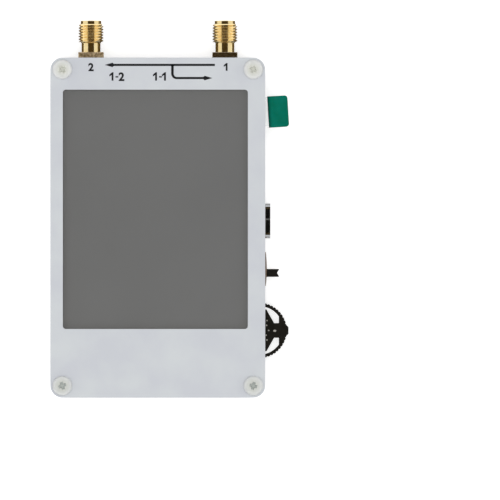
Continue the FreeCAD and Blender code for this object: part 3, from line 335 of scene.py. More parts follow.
def surface(name, light, dark, patch, roughness, grain, relief, **values):
    """Two tones in patches, a roughness that drifts with them, and a fine grain. Sizes in millimetres;
    patches that are finer on the real material are drawn as coarse as they need to show."""
    material = bpy.data.materials.new(name)
    material.use_nodes = True
    tree = material.node_tree
    shader = tree.nodes["Principled BSDF"]
    for socket, setting in values.items():
        shader.inputs[socket.replace("_", " ")].default_value = setting
    place = add_node(material, "TexCoord", {"name": "place"})
    drift = add_node(material, "TexNoise",
                     {"Vector": place.outputs["Object"], "Scale": 1 / (patch * MM), "Detail": PATCH_DETAIL})
    tones = add_node(material, "ValToRGB", {"Fac": drift.outputs["Fac"]})
    for stop, position, code in zip(tones.color_ramp.elements, TONE_STOPS, (dark, light)):
        stop.position = position
        stop.color = paint(code)
    tree.links.new(tones.outputs["Color"], shader.inputs["Base Color"])
    smooth, rough = roughness * (1 - GLOSS_DRIFT), roughness * (1 + GLOSS_DRIFT)
    gloss = add_node(material, "MapRange",
                     {"Value": drift.outputs["Fac"], "To Min": smooth, "To Max": rough})
    tree.links.new(gloss.outputs["Result"], shader.inputs["Roughness"])
    fine = add_node(material, "TexNoise",
                    {"Vector": place.outputs["Object"], "Scale": 1 / (grain * MM), "Detail": GRAIN_DETAIL})
    bump = add_node(material, "Bump", {"Height": fine.outputs["Fac"], "Distance": relief * MM})
    tree.links.new(bump.outputs["Normal"], shader.inputs["Normal"])
    return material


def overlay(material, mask, code):
    """Lay a second colour over the base colour where the mask is 1."""
    base = material.node_tree.nodes["Principled BSDF"].inputs["Base Color"]
    mix = add_node(material, "Mix", {"data_type": "RGBA", 0: mask,    # colours: inputs 6 and 7, output 2
                                     6: base.links[0].from_socket, 7: paint(code)})
    material.node_tree.links.new(mix.outputs[2], base)


def side_mask(material):
    """1 on the upright sides of a piece that lies flat, 0 on its faces."""
    lean = 0.3
    place = material.node_tree.nodes["place"]
    apart = add_node(material, "SeparateXYZ", {"Vector": place.outputs["Normal"]})
    upright = add_node(material, "Math", {"operation": "ABSOLUTE", 0: apart.outputs["Z"]})
    mask = add_node(material, "Math", {"operation": "LESS_THAN", 0: upright.outputs["Value"], 1: lean})
    return mask.outputs["Value"]


def white_board():
    """White solder mask: satin, faintly cloudy; the cut sides show pale glass-epoxy."""
    material = surface("white solder mask", "#D2D6D9", "#CCCFD5", patch=9, roughness=0.42, grain=0.35,
                       relief=0.003)
    overlay(material, side_mask(material), "#C9C8BC")
    return material


def green_board():
    """Dark green solder mask: glossy, with olive glass-epoxy at the cut sides."""
    material = surface("green solder mask", "#12452B", "#0E3A25", patch=5, roughness=0.3, grain=0.4,
                       relief=0.006)
    overlay(material, side_mask(material), "#9A9468")
    return material


def white_nylon():
    """Natural moulded nylon: milky, light enters it and blurs. Painted shade makes each head darker and
    warmer towards its middle, where its recess holds the light. The lower pair of screws is a little greyer
    all over."""
    material = surface("natural nylon", "#E5E6E5", "#DEDFDF", patch=1.2, roughness=0.42, grain=0.25,
                       relief=0.004, Subsurface_Weight=0.6, Subsurface_Scale=0.9 * MM,
                       Subsurface_Radius=(1, 1, 1), IOR=1.53)
    core, rim, lower_grey_share = 0.9, 2.3, 0.25
    place = material.node_tree.nodes["place"]
    apart = add_node(material, "SeparateXYZ", {"Vector": place.outputs["Object"]})
    sides = {}
    for axis, middle in (("X", SCREW_X), ("Y", SCREW_Y)):
        outwards = add_node(material, "Math", {"operation": "ABSOLUTE", 0: apart.outputs[axis]})
        sides[axis] = add_node(material, "Math", {"operation": "SUBTRACT", 0: outwards.outputs["Value"],
                                                  1: middle * MM}).outputs["Value"]
    flat = add_node(material, "CombineXYZ", sides)
    reach = add_node(material, "VectorMath", {"operation": "LENGTH", 0: flat.outputs["Vector"]})
    # painted shade: darker and warmer towards each head's middle, for the light caught in its recess
    warm_shade = add_node(material, "MapRange", {"Value": reach.outputs["Value"], "From Min": core * MM,
                                             "From Max": rim * MM, "To Min": 1.0, "To Max": 0.0})
    overlay(material, warm_shade.outputs["Result"], "#D9DAD2")
    # the lower pair of screws is made a little greyer all over
    lower = add_node(material, "Math", {"operation": "LESS_THAN", 0: apart.outputs["Y"], 1: 0.0})
    lower_grey = add_node(material, "Math", {"operation": "MULTIPLY", 0: lower.outputs["Value"], 1: lower_grey_share})
    overlay(material, lower_grey.outputs["Value"], "#B9BEBC")
    return material


def recess_shade_nylon():
    """Nylon greyed with painted shade, for the bottom of a screw's recess."""
    return surface("nylon with painted recess shade", "#C4C9C4", "#B4B9B5", patch=0.5, roughness=0.6, grain=0.12, relief=0.006,
                   Subsurface_Weight=0.4, Subsurface_Scale=0.6 * MM, Subsurface_Radius=(1, 1, 1), IOR=1.53)


def touch_glass():
    """Resistive touch panel over a dark display: an even mid grey, smooth."""
    return surface("touch panel", "#70706F", "#6E6E6D", patch=20, roughness=0.2, grain=3, relief=0.0005,
                   IOR=1.5)


def clear_film():
    """Polyester protective film: almost invisible, with a faint haze."""
    return surface("clear film", "#8C8E90", "#868889", patch=4, roughness=0.15, grain=2, relief=0.0005,
                   Alpha=0.05, IOR=1.57)


def free_film():
    """The same film where it stands free beside the panel: scratched, so that it shows against white."""
    return surface("scratched clear film", "#F0F7F8", "#E8F0F2", patch=1, roughness=0.2, grain=0.2,
                   relief=0.001, Alpha=0.2, IOR=1.57)


def green_film():
    """Dyed polyester tab: deep even green, smooth, darker along its edge beside the panel."""
    material = surface("green tab film", "#026F5D", "#026752", patch=3, roughness=0.16, grain=0.3,
                       relief=0.001, Specular_IOR_Level=0.15)
    place = material.node_tree.nodes["place"]
    own_axes = add_node(material, "Mapping", {"vector_type": "TEXTURE", "Vector": place.outputs["Object"],
                                              "Location": Vector(TAB_MIDDLE) * MM,
                                              "Rotation": (0, 0, math.radians(TAB_TILT))})
    across = add_node(material, "SeparateXYZ", {"Vector": own_axes.outputs["Vector"]})
    # fold is only the tab's edge towards the panel, where the darker band starts
    fold, fade = -TAB_WIDTH / 2, 0.85
    dark = add_node(material, "MapRange", {"Value": across.outputs["X"], "From Min": fold * MM,
                                           "From Max": (fold + fade) * MM, "To Min": 1.0, "To Max": 0.0})
    overlay(material, dark.outputs["Result"], "#02352F")
    return material


def gold_plate():
    """Gold over turned brass: warm and bright, mirror-like where the tool left it smooth."""
    return surface("gold plate", "#EEDBA8", "#E9D19A", patch=1.5, roughness=0.13, grain=0.2, relief=0.001,
                   Metallic=1.0)


def cut_gold():
    """Gold over a cut thread, blurred by the cutter's fine tears; its paler colour is painted light from its
    grooves.
    """
    return surface("gold plate on a cut thread", "#FFF1CC", "#FAE5B6", patch=0.8, roughness=0.2, grain=0.12,
                   relief=0.006, Metallic=1.0)


def stained_gold():
    """Gold with dried soldering flux on it: brown-grey streaks, dull in patches."""
    return surface("flux-stained gold plate", "#FFEBC8", "#BBA074", patch=0.6, roughness=0.62, grain=0.25,
                   relief=0.014, Metallic=1.0)


def tarnished_gold():
    """Gold worn thin and tarnished: a dull brown-grey mirror."""
    return surface("tarnished gold plate", "#D9CFBD", "#B5A692", patch=0.35, roughness=0.22, grain=0.2,
                   relief=0.006, Metallic=1.0)


def bright_steel():
    """Nickel-plated drawn steel: bright and smooth."""
    return surface("nickel-plated steel", "#BEBFC1", "#B4B6B8", patch=2, roughness=0.09, grain=0.3,
                   relief=0.001, Metallic=1.0)


def tinned_steel():
    """Tin-plated sheet steel: warmer and duller than nickel."""
    return surface("tin-plated steel", "#B9B2A8", "#A79F95", patch=2, roughness=0.32, grain=0.3,
                   relief=0.002, Metallic=1.0)


def bronze_sheet():
    """Phosphor bronze strip under thin nickel: a dull grey-brown."""
    return surface("plated phosphor bronze", "#BDA799", "#A58D7E", patch=0.9, roughness=0.46, grain=0.15,
                   relief=0.004, Metallic=0.8)


def black_plastic():
    """Glass-filled nylon, spark-eroded mould: near black, dull sheen."""
    return surface("black moulded nylon", "#1A1713", "#13110D", patch=1.5, roughness=0.42, grain=0.15,
                   relief=0.004)


def black_ink():
    """Printing ink: flat black, a little softer at its edges than the mask below."""
    return surface("black printing ink", "#15161A", "#101114", patch=1.5, roughness=0.5, grain=0.1,
                   relief=0.002)


def glint_paint():
    """Painted highlight: the pale glints on the lever's small raised pips."""
    return surface("painted glint", "#C2BFB8", "#A5A199", patch=0.2, roughness=0.5, grain=0.08, relief=0.004)


def matt_card(name, light, dark):
    """Matt paper without any gloss, seen only in reflections."""
    return surface(name, light, dark, patch=200, roughness=0.9, grain=5, relief=0.01, Specular_IOR_Level=0.0)


def foam_tape():
    """Black closed-cell foam tape: matt, with fine pores."""
    return surface("foam tape", "#2A2A2A", "#202020", patch=2, roughness=0.9, grain=0.2, relief=0.02)


def white_polycarbonate():
    """Moulded polycarbonate, filled white: even and slightly glossy."""
    return surface("white polycarbonate", "#E4E4E2", "#DCDCDA", patch=2, roughness=0.35, grain=0.3,
                   relief=0.003, IOR=1.58)


def display_glass():
    """Liquid-crystal glass, dark behind its polariser, with a clean gloss."""
    return surface("display glass", "#26262A", "#222226", patch=5, roughness=0.08, grain=2, relief=0.0005,
                   IOR=1.52)


def polyimide_film():
    """Amber polyimide ribbon: deep orange-brown, glossy."""
    return surface("polyimide film", "#B5651D", "#9C5215", patch=2, roughness=0.28, grain=0.4, relief=0.002,
                   IOR=1.7)


def turned_ptfe():
    """Turned PTFE: waxy white, a little light enters it."""
    return surface("turned PTFE", "#EDEDEA", "#E6E6E2", patch=2, roughness=0.5, grain=0.2, relief=0.004,
                   Subsurface_Weight=0.3, Subsurface_Scale=0.5 * MM, Subsurface_Radius=(1, 1, 1), IOR=1.36)


def paper_phenolic():
    """Brown paper laminate: matt and faintly fibrous."""
    return surface("paper phenolic", "#5A3D2C", "#4A3022", patch=0.6, roughness=0.6, grain=0.12,
                   relief=0.006)


def foil_pouch():
    """Laminated aluminium foil: satin silver with shallow dents."""
    return surface("foil pouch", "#C6C8CA", "#B4B7BA", patch=4, roughness=0.3, grain=1.2, relief=0.03,
                   Metallic=1.0)


def silicone_wire(name, light, dark):
    """Silicone insulation: even, with a soft sheen."""
    return surface(name, light, dark, patch=1.5, roughness=0.5, grain=0.2, relief=0.003, IOR=1.43)


def chip_epoxy():
    """Transfer-moulded epoxy: charcoal, with the mould's fine matt grain."""
    return surface("chip epoxy", "#2B2B2D", "#242426", patch=1.5, roughness=0.55, grain=0.08, relief=0.004,
                   IOR=1.55)


def ferrite():
    """Pressed ferrite: dark grey, slightly sparkling."""
    return surface("ferrite core", "#46474A", "#3A3B3E", patch=1, roughness=0.55, grain=0.1, relief=0.006,
                   IOR=2.2)


def chip_ceramic():
    """Fired barium titanate: tan, fine-grained and hard."""
    return surface("chip ceramic", "#A98A66", "#957655", patch=1.5, roughness=0.42, grain=0.1, relief=0.002,
                   IOR=1.9)


def lamp_resin():
    """Clear resin over a yellow phosphor: pale yellow and glossy."""
    return surface("clear lamp resin", "#EFE9C8", "#E3DBAE", patch=0.5, roughness=0.2, grain=0.2,
                   relief=0.001, IOR=1.5)


FINISHES = {
    "white_board": white_board(),
    "green_board": green_board(),
    "white_nylon": white_nylon(),
    "touch_glass": touch_glass(),
    "clear_film": clear_film(),
    "green_film": green_film(),
    "gold_plate": gold_plate(),
    "bright_steel": bright_steel(),
    "tinned_steel": tinned_steel(),
    "black_plastic": black_plastic(),
    "foam_tape": foam_tape(),
    "white_plastic": white_polycarbonate(),
    "display_glass": display_glass(),
    "amber_film": polyimide_film(),
    "white_ptfe": turned_ptfe(),
    "brown_phenolic": paper_phenolic(),
    "foil_pouch": foil_pouch(),
    "red_insulation": silicone_wire("red silicone", "#B81E1E", "#A81818"),
    "black_insulation": silicone_wire("black silicone", "#262626", "#1E1E1E"),
    "chip_epoxy": chip_epoxy(),
    "ferrite": ferrite(),
    "chip_ceramic": chip_ceramic(),
    "light_resin": lamp_resin(),
}


def second_finish(piece, material, test):
    """Give another finish to the faces whose centres pass a test."""
    piece.data.materials.append(material)
    edit(piece)
    pick("FACE", lambda face: test(face.calc_center_median()))
    piece.active_material_index = len(piece.data.materials) - 1
    bpy.ops.object.material_slot_assign()
    leave_edit()


# ---- boards and their printing ----

FRONT_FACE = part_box("front_panel")[1].z / MM
BACK_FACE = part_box("back_panel")[0].z / MM
INK = 0.02          # height of the printing over the board
LINE_WIDTH = 0.54   # of the printed arrows
HEAD_LENGTH, HEAD_HALF, HEAD_BARB = 2.3, 0.56, 0.86     # the barb is where a head is widest, as a share
ARROW_LEVEL = 40.9  # of the long arrow
PORT_LEVEL, PATH_LEVEL = 40.4, 38.0     # of the numbers beside the long arrow and below it


def boards():
    """Routed circuit boards, their edges just broken."""
    rounded("routed", {"front_panel": 0.07, "back_panel": 0.07, "main_board": 0.07})


def arrow_head(tip, back_half, way):
    """Outline points of an arrow head from its upper shoulder round the tip to its lower one."""
    x, y = tip
    back = x - way * HEAD_LENGTH
    barb = x - way * HEAD_LENGTH * HEAD_BARB
    return [(back, y + back_half), (barb, y + HEAD_HALF), (x, y), (barb, y - HEAD_HALF),
            (back, y - back_half)]


def long_arrow():
    """From the right jack's number to the left one's."""
    start, tip = 14.34, -13.36
    half = LINE_WIDTH / 2
    head = arrow_head((tip, ARROW_LEVEL), half, -1)
    return [(start, ARROW_LEVEL - half), (start, ARROW_LEVEL + half)] + head


def branch_arrow():
    """Leaves the long arrow downwards and bends back to the right."""
    stem, stem_half, half = 3.67, 0.32, LINE_WIDTH / 2
    level, tip, bend = 37.6, 13.74, 1.1
    hub = (stem + bend, level + bend)
    outer = arc(hub, (bend + stem_half, bend + half), 180, 270)
    inner = arc(hub, (bend - half, bend - stem_half), 270, 180)
    head = list(reversed(arrow_head((tip, level), half, 1)))
    return [(stem - stem_half, ARROW_LEVEL)] + outer + head + inner + [(stem + stem_half, ARROW_LEVEL)]


def two(place, height):
    """A plain printed 2, centred on its place."""
    digit_share, boldness = 0.73, 0.1       # height of a digit against the type size, and added weight
    bpy.ops.object.text_add()
    label = bpy.context.object
    label.data.body = "2"
    label.data.align_x = "CENTER"
    label.data.size = height / digit_share * MM
    label.data.offset = boldness * MM
    label.data.extrude = INK / 2 * MM
    bpy.ops.object.convert(target="MESH")
    move(label, (place[0], place[1] - height / 2, FRONT_FACE + INK / 2))
    return label


def one(place, height):
    """A plain printed 1 with a short flag."""
    x, y = place
    top, foot, half = y + height / 2, y - height / 2, height * 0.11
    flag_start, flag_end = x - half * 0.4, x - half * 3.4
    upper, lower, root = top - half * 2.6, top - half * 4.6, top - half * 3
    outline = [(x + half, foot), (x + half, top), (flag_start, top), (flag_end, upper), (flag_end, lower),
               (x - half, root), (x - half, foot)]
    return plate("one", outline, FRONT_FACE, FRONT_FACE + INK)


def dash(place):
    """A short printed line, centred on its place."""
    x, y = place
    reach, half = 0.35, 0.17
    return block("dash", (x - reach, y - half, FRONT_FACE), (x + reach, y + half, FRONT_FACE + INK))


def printing():
    """Two arrows, a number for each port, and for each arrow the ports that it joins, as in 1-2."""
    port_size, path_size = 1.95, 2.1
    before, between, after, drop = 1.15, 0.05, 1.1, 0.1     # where a path's signs lie about its middle
    pieces = [plate("long_arrow", long_arrow(), FRONT_FACE, FRONT_FACE + INK),
              plate("branch_arrow", branch_arrow(), FRONT_FACE, FRONT_FACE + INK),
              two((-16.8, PORT_LEVEL), port_size), one((17.3, PORT_LEVEL), port_size)]
    for x, second in ((-10.24, two), (0.7, one)):
        pieces += [one((x - before, PATH_LEVEL), path_size), dash((x - between, PATH_LEVEL - drop)),
                   second((x + after, PATH_LEVEL), path_size)]
    ink = join(pieces, "panel_printing")
    ink.data.materials.append(black_ink())
    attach(ink, "root")


# ---- nylon fasteners ----

SCREW_HEIGHT = 1.6      # of a head


def cross_recess():
    """Two crossing blades that taper downwards, the shape of a screwdriver's tip."""
    reach, half, bottom, taper = 1.12, 0.42, 0.85, (0.4, 0.55, 1)
    blades = []
    for turn in (0, 90):
        blade = block("blade", (-reach, -half, bottom), (reach, half, SCREW_HEIGHT + SPARE))
        edit(blade)
        pick("FACE", lambda face: face.normal.z < -FACING)
        bpy.ops.transform.resize(value=taper)
        leave_edit()
        move(blade, turn=(0, 0, turn))
        blades.append(blade)
    return blades


def pan_screw(name, head_radius, shank):
    """Pan head upwards from 0, threaded shank downwards."""
    thread, chamfer, lip = 1.25, 0.25, 0.08
    crown, side, rise = 0.85, 0.6, 0.06     # the head's rounding, the height below it, the middle's rise
    crown_arc = arc((head_radius - crown, side), crown, 0, 80, steps=7)
    flattened = [(radius, side + (height - side) * (SCREW_HEIGHT - rise - side) / crown)
                 for radius, height in crown_arc]
    screw = turned(name, [(0, -shank), (thread - chamfer, -shank), (thread, -shank + chamfer), (thread, 0),
                          (head_radius - lip, 0), (head_radius, lip)] + flattened + [(0, SCREW_HEIGHT)])
    for blade in cross_recess():
        shape_with(screw, blade, "DIFFERENCE")
    return screw


def screws(node, face, upwards, turns):
    """Four screws on an outer face of the sandwich, each turned its own way."""
    low, high = span(node)
    head_radius = high.x - SCREW_X
    shank = high.z - low.z - SCREW_HEIGHT
    screw = pan_screw("pan_screw", head_radius, shank)
    tilt = 0 if upwards else 180
    corners = [(x, y) for y in (SCREW_Y, -SCREW_Y) for x in (-SCREW_X, SCREW_X)]
    heads = [copy_of(screw, f"{node}_{number}", (x, y, face), (tilt, 0, turn))
             for number, ((x, y), turn) in enumerate(zip(corners, turns))]
    bpy.data.objects.remove(screw)
    moulded = hand_over(join(heads, node + "_moulded"), node)
    if upwards:
        # painted shade in the recesses of the lower pair of front screws
        recess_reach, recess_low, recess_high = 1.4, 0.5, SCREW_HEIGHT - 0.15

        def shaded_recess(centre):
            x, y, z = centre / MM
            aside = math.hypot(abs(x) - SCREW_X, y + SCREW_Y)
            return aside < recess_reach and recess_low < z - face < recess_high

        second_finish(moulded, recess_shade_nylon(), shaded_recess)


def fasteners():
    """Screws in both outer faces, and the hexagonal spacers that they end in."""
    screws("front_screws", FRONT_FACE, True, (38, 62, 20, 75))
    screws("back_screws", BACK_FACE, False, (10, 55, 30, 80))
    rounded("moulded", {"front_spacers": 0.12, "back_spacers": 0.12}, segments=3)


# ---- screen ----

FILM_GAP = 0.02     # air between the clear film and the touch panel


def screen():
    """The display's layers, and the clear film with its free strip beside the panel."""
    rounded("cut", {"screen_tape": 0.04, "screen_backlight": 0.15, "screen_glass": 0.05, "touch_panel": 0.12,
                    "screen_flex": 0.03, "pull_tab": 0.03})
    film = clean_copy("protective_film", "protective_film_cut")
    panel_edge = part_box("front_panel")[1].x
    edit(film)
    pick("FACE", lambda face: face.normal.z < -FACING)
    bpy.ops.transform.translate(value=(0, 0, FILM_GAP * MM))
    slice_at((panel_edge / MM, 0, 0), (1, 0, 0), cut_off=False)
    leave_edit()
    hand_over(film, "protective_film")
    second_finish(film, free_film(), lambda centre: centre.x > panel_edge)


# ---- coaxial jacks ----

THREAD_PITCH = 0.7056       # 36 turns to the inch
THREAD_DEPTH = 0.52
THREAD_ROOT = 0.05          # share of the pitch that the groove's floor takes
THREAD_CHAMFER = (0.42, 0.36)       # depth and length of the chamfer at the mouth's end
FLANGE, NECK, THREAD, NOSE = 1.4, 2.55, 4.5, 0.88   # lengths along the jack
MOUTH_RADIUS, MOUTH_DEPTH = 2.3, 1.9
INSULATOR_RADIUS = 2.05


def screw_thread(major, low, high):
    """A 60 degree thread between two heights, broken at its foot and chamfered towards the mouth."""
    root = major - THREAD_DEPTH
    early, late = 2, 1      # turns that are cut off again below and above
    start = low - early * THREAD_PITCH
    turns = early + math.ceil((high - low) / THREAD_PITCH) + late
    flank = THREAD_DEPTH * math.tan(math.radians(30)) / THREAD_PITCH
    foot = THREAD_ROOT / 2
    tooth = [(foot, root), (foot + flank, major), (1 - foot - flank, major), (1 - foot, root)]
    profile = []
    for turn in range(turns):
        for share, radius in tooth:
            profile.append((radius, 0, start + (turn + share) * THREAD_PITCH))
    thread = draw("thread", profile)
    leave_edit()
    modify(thread, "SCREW", axis="Z", angle=math.tau, screw_offset=THREAD_PITCH * MM, steps=48,
           render_steps=48, use_merge_vertices=True, merge_threshold=MERGE)
    edit(thread)
    bpy.ops.mesh.remove_doubles(threshold=MERGE)
    slice_at((0, 0, low), (0, 0, -1))
    slice_at((0, 0, high), (0, 0, 1))
    close_up()
    broken, skin, room = 0.1, 0.01, 1
    depth, length = THREAD_CHAMFER
    envelope = turned("envelope", [(0, low - room), (major - broken, low - room), (major - broken, low),
                                   (major + skin, low + broken), (major + skin, high - length),
                                   (major - depth, high), (major - depth, high + room), (0, high + room)])
    shape_with(thread, envelope, "INTERSECT")
    return thread


def jack_body(flange_half, neck, major, nose):
    """Along Z from the boards' edge: flange, neck, thread and nose, with four legs behind."""
    neck_end = FLANGE + NECK
    thread_end = neck_end + THREAD
    mouth = thread_end + NOSE
    lip, root = 0.09, major - THREAD_DEPTH
    core, collar = root - 0.03, root + 0.07     # radii of the stock under the thread, which hides both
    shoulder, collar_low, collar_high, foot = 0.25, 0.05, 0.08, 0.12    # steps along it about the thread
    start = 0.2     # inside the flange
    body = turned("jack_body", [(0, start), (neck, start), (neck, neck_end - shoulder), (core, neck_end),
                                (core, thread_end - collar_low), (collar, thread_end - collar_low),
                                (collar, thread_end + collar_high), (nose, thread_end + foot),
                                (nose, mouth - lip), (nose - lip, mouth), (0, mouth)], steps=96)
    shape_with(body, screw_thread(major, neck_end, thread_end), "UNION")
    flange = block("flange", (-flange_half, -flange_half, 0), (flange_half, flange_half, FLANGE), edge=0.12)
    shape_with(body, flange, "UNION")
    for leg in legs():
        shape_with(body, leg, "UNION")
    reference = mouth - MOUTH_DEPTH
    bore = turned("bore", [(0, -1), (INSULATOR_RADIUS, -1), (INSULATOR_RADIUS, reference),
                           (MOUTH_RADIUS, reference), (MOUTH_RADIUS, mouth - SPARE),
                           (MOUTH_RADIUS + 2 * SPARE, mouth + SPARE), (0, mouth + SPARE)])
    shape_with(body, bore, "DIFFERENCE")
    return body


def legs():
    """Four square legs that grip the main board from both faces."""
    half, thickness, apart = 0.45, 0.9, 2.5
    length, root = 4.2, 0.3
    board_top, board_bottom = 0.4, 1.6      # the main board's faces below the jack's axis
    made = []
    for x in (-apart, apart):
        for low, high in ((board_top - thickness, board_top), (board_bottom, board_bottom + thickness)):
            made.append(block("leg", (x - half, low, -length), (x + half, high, root), edge=0.08))
    return made


def jacks():
    """Two alike; dried flux dulls the flange of the left one, and tarnish that of the right one."""
    low, high = span("port_1_body")
    body = jack_body((high.x - low.x) / 2, neck=2.375, major=3.175, nose=2.575)
    threaded, room = cut_gold(), 0.01
    for number, dulled in ((1, tarnished_gold()), (2, stained_gold())):
        node = f"port_{number}_body"
        low, high = span(node)
        middle = (low + high) / 2
        edge = high.y - FLANGE - NECK - THREAD - NOSE
        jack = copy_of(body, node + "_turned", (middle.x, edge, middle.z), (-90, 0, 0))
        hand_over(jack, node)
        thread_start = (edge + FLANGE + NECK) * MM
        thread_end = thread_start + (THREAD - THREAD_CHAMFER[1]) * MM
        # the thread's paler gold is painted light
        second_finish(jack, threaded, lambda centre: thread_start < centre.y < thread_end)
        flange_low, flange_high = (edge - room) * MM, (edge + FLANGE + room) * MM
        second_finish(jack, dulled, lambda centre: flange_low < centre.y < flange_high)
        jack_inside(number, middle)
    bpy.data.objects.remove(body)


def jack_inside(number, middle):
    """Insulator, and a contact whose tip is slit in four."""
    rounded("turned", {f"port_{number}_insulator": 0.06})
    node = f"port_{number}_contact"
    contact = clean_copy(node, node + "_slit")
    tip = span(node)[1].y
    slit_half, depth, reach = 0.07, 2.4, 1
    for turn in (0, 90):
        saw = block("saw", (-reach, -depth, -slit_half), (reach, SPARE, slit_half))
        move(saw, (middle.x, tip, middle.z), (0, turn, 0))
        shape_with(contact, saw, "DIFFERENCE")
    soften(contact, 0.04)
    hand_over(contact, node)


# ---- cable socket ----

def capsule(name, low, high, radius):
    """A bar along X between two corners in millimetres, its long edges rounded."""
    bar = block(name, low, high)
    edit(bar)
    pick("EDGE", lambda edge: abs(edge.verts[0].co.x - edge.verts[1].co.x) > TINY)
    bpy.ops.mesh.bevel(offset=radius * MM, segments=14, affect="EDGES")
    leave_edit()
    return bar


def cable_socket():
    """Drawn shell with its butt seam on the board's side, and four feet that are soldered down."""
    low, high = span("usb_shell")
    wall, foot, foot_length, foot_thickness, reach = 0.3, 0.7, 1.1, 0.25, 1.28
    half_height, side_flat = (high.z - low.z) / 2, 0.03
    rounding = half_height - side_flat
    left, right = low.y + foot, high.y - foot
    shell = capsule("usb_shell_drawn", (low.x, left, low.z), (high.x, right, high.z), rounding)
    for start in (reach + foot, high.x - low.x - foot_length):
        for inner, outer in ((left + half_height, low.y), (right - half_height, high.y)):
            front = high.x - start
            tab = block("foot", (front - foot_length, min(inner, outer), high.z - foot_thickness),
                        (front, max(inner, outer), high.z))
            shape_with(shell, tab, "UNION")
    hollow = capsule("hollow", (low.x + wall, left + wall, low.z + wall),
                     (high.x + SPARE, right - wall, high.z - wall), rounding - wall)
    shape_with(shell, hollow, "DIFFERENCE")
    seam, seam_radius, rim_slope = 2.1, 0.2, 38     # a shallow round groove, whose sides catch the light
    seam_length, seam_middle = 8, high.x - 3
    groove = primitive("cylinder", "groove", vertices=48, radius=seam_radius * MM, depth=seam_length * MM)
    height = seam_radius * math.cos(math.radians(rim_slope))
    move(groove, (seam_middle, seam, high.z + height), (0, 90, 0))
    shape_with(shell, groove, "DIFFERENCE")
    soften(shell, 0.05)
    hand_over(shell, "usb_shell")
    rounded("moulded", {"usb_tongue": 0.08, "usb_contacts": 0.01})


# ---- slide switch ----

def slide_switch():
    """A folded frame over a laminate base, and the knob in its slot."""
    low, high = span("power_switch_frame")
    cover = clean_copy("power_switch_frame", "power_switch_frame_folded")
    middle, half = (low.y + high.y) / 2, (high.y - low.y) / 2
    stations, bow, front = 12, 0.24, 0.35       # the front wall lies within that much of its face
    edit(cover)
    for station in range(1, stations):
        slice_at((0, low.y + (high.y - low.y) * station / stations, 0), (0, 1, 0), cut_off=False)
    leave_edit()
    for point in cover.data.vertices:       # the front is pressed into a shallow bow
        if point.co.x > (high.x - front) * MM:
            point.co.x -= bow * MM * ((point.co.y / MM - middle) / half) ** 2
    soften(cover, 0.06)
    hand_over(cover, "power_switch_frame", bronze_sheet())
    rounded("finished", {"power_switch_base": 0.08, "power_switch_knob": 0.12,
                         "power_switch_terminals": 0.05})


# ---- jog lever ----

def jog_switch():
    """The lever on its carriage, and the switch that they press."""
    rounded("moulded", {"jog_lever": 0.07})
    rounded("finished", {"jog_base": 0.12, "jog_carrier": 0.06, "jog_pivot_pin": 0.06, "jog_cover": 0.04,
                         "jog_terminals": 0.03})
    switch_springs()
    lever_marks()


def switch_springs():
    """Coil and leaves behind the carrier, with their far ends on the base."""
    rocking_room = 0.4      # the leaves end this much short, so that the lever's back can turn past them
    for node, name, room in (("jog_push_spring", "jog_push_spring_wound", 0),
                             ("jog_contact_springs", "jog_contact_springs_rolled", rocking_room)):
        low, high = span(node)
        length = high.x - room - low.x
        spring = clean_copy(node, name)
        if room:
            edit(spring)
            slice_at((low.x + length, 0, 0), (1, 0, 0))
            leave_edit()
            soften(spring, 0.02)
        hand_over(spring, node)
        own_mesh(spring)


def lever_marks():
    """Small raised pips on the lever's face, painted pale as the glints that they catch."""
    top = span("jog_lever")[1].z
    spots = [(27.47, -23.4), (27.35, -24.6), (27.87, -25.9), (27.25, -27.1), (27.44, -28.3), (29.4, -26.0)]
    small, large, height = (0.2, 0.2), (0.38, 0.26), 0.04
    marks = []
    for number, (x, y) in enumerate(spots):
        across, along = large if number == len(spots) - 1 else small
        mark = primitive("uv_sphere", f"mark_{number}", segments=20, ring_count=10, radius=MM)
        mark.scale = (across, along, height)
        move(mark, (x, y, top))
        marks.append(mark)
    pips = join(marks, "jog_lever_marks")
    shade(pips)
    pips.data.materials.append(glint_paint())
    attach(pips, "jog_lever")


# ---- lithium cell ----

def cell():
    """Soft pouch with a folded seam on each side and a taped top seal."""
    low, high = span("battery_cell")
    seal, fold, sunk = 2.3, 0.35, 0.25      # sunk is how deep a seam's fold lies in the pouch
    seam_low, seam_high, seam_edge = 0.8, 0.6, 0.45     # room that a seam leaves along the pouch and over it
    lip_side, lip_root, lip_end, lip_half = 1, 0.4, 0.1, 0.2
    tape_side, tape_start, tape_half = 0.8, 0.2, 0.42
    middle, shoulder = (low.z + high.z) / 2, high.y - seal
    pouch = block("pouch", (low.x + fold, low.y, low.z), (high.x - fold, shoulder, high.z), edge=1.1)
    folds = [block("fold", (x, low.y + seam_low, low.z + seam_edge),
                   (x + fold + sunk, shoulder - seam_high, high.z - seam_edge), edge=0.1)
             for x in (low.x, high.x - fold - sunk)]
    lip = block("lip", (low.x + lip_side, shoulder - lip_root, middle - lip_half),
                (high.x - lip_side, high.y - lip_end, middle + lip_half), edge=0.08)
    hand_over(join([pouch, *folds, lip], "battery_pouch"), "battery_cell")
    wrap = block("battery_end_tape", (low.x + tape_side, shoulder + tape_start, middle - tape_half),
                 (high.x - tape_side, high.y, middle + tape_half), edge=0.15)
    wrap.data.materials.append(FINISHES["amber_film"])
    shade(wrap)
    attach(wrap, "root")
    for node in ("battery_tape", "battery_lead_red", "battery_lead_black"):
        hand_over(clean_copy(node, node + "_finished"), node)


# ---- electronic parts ----

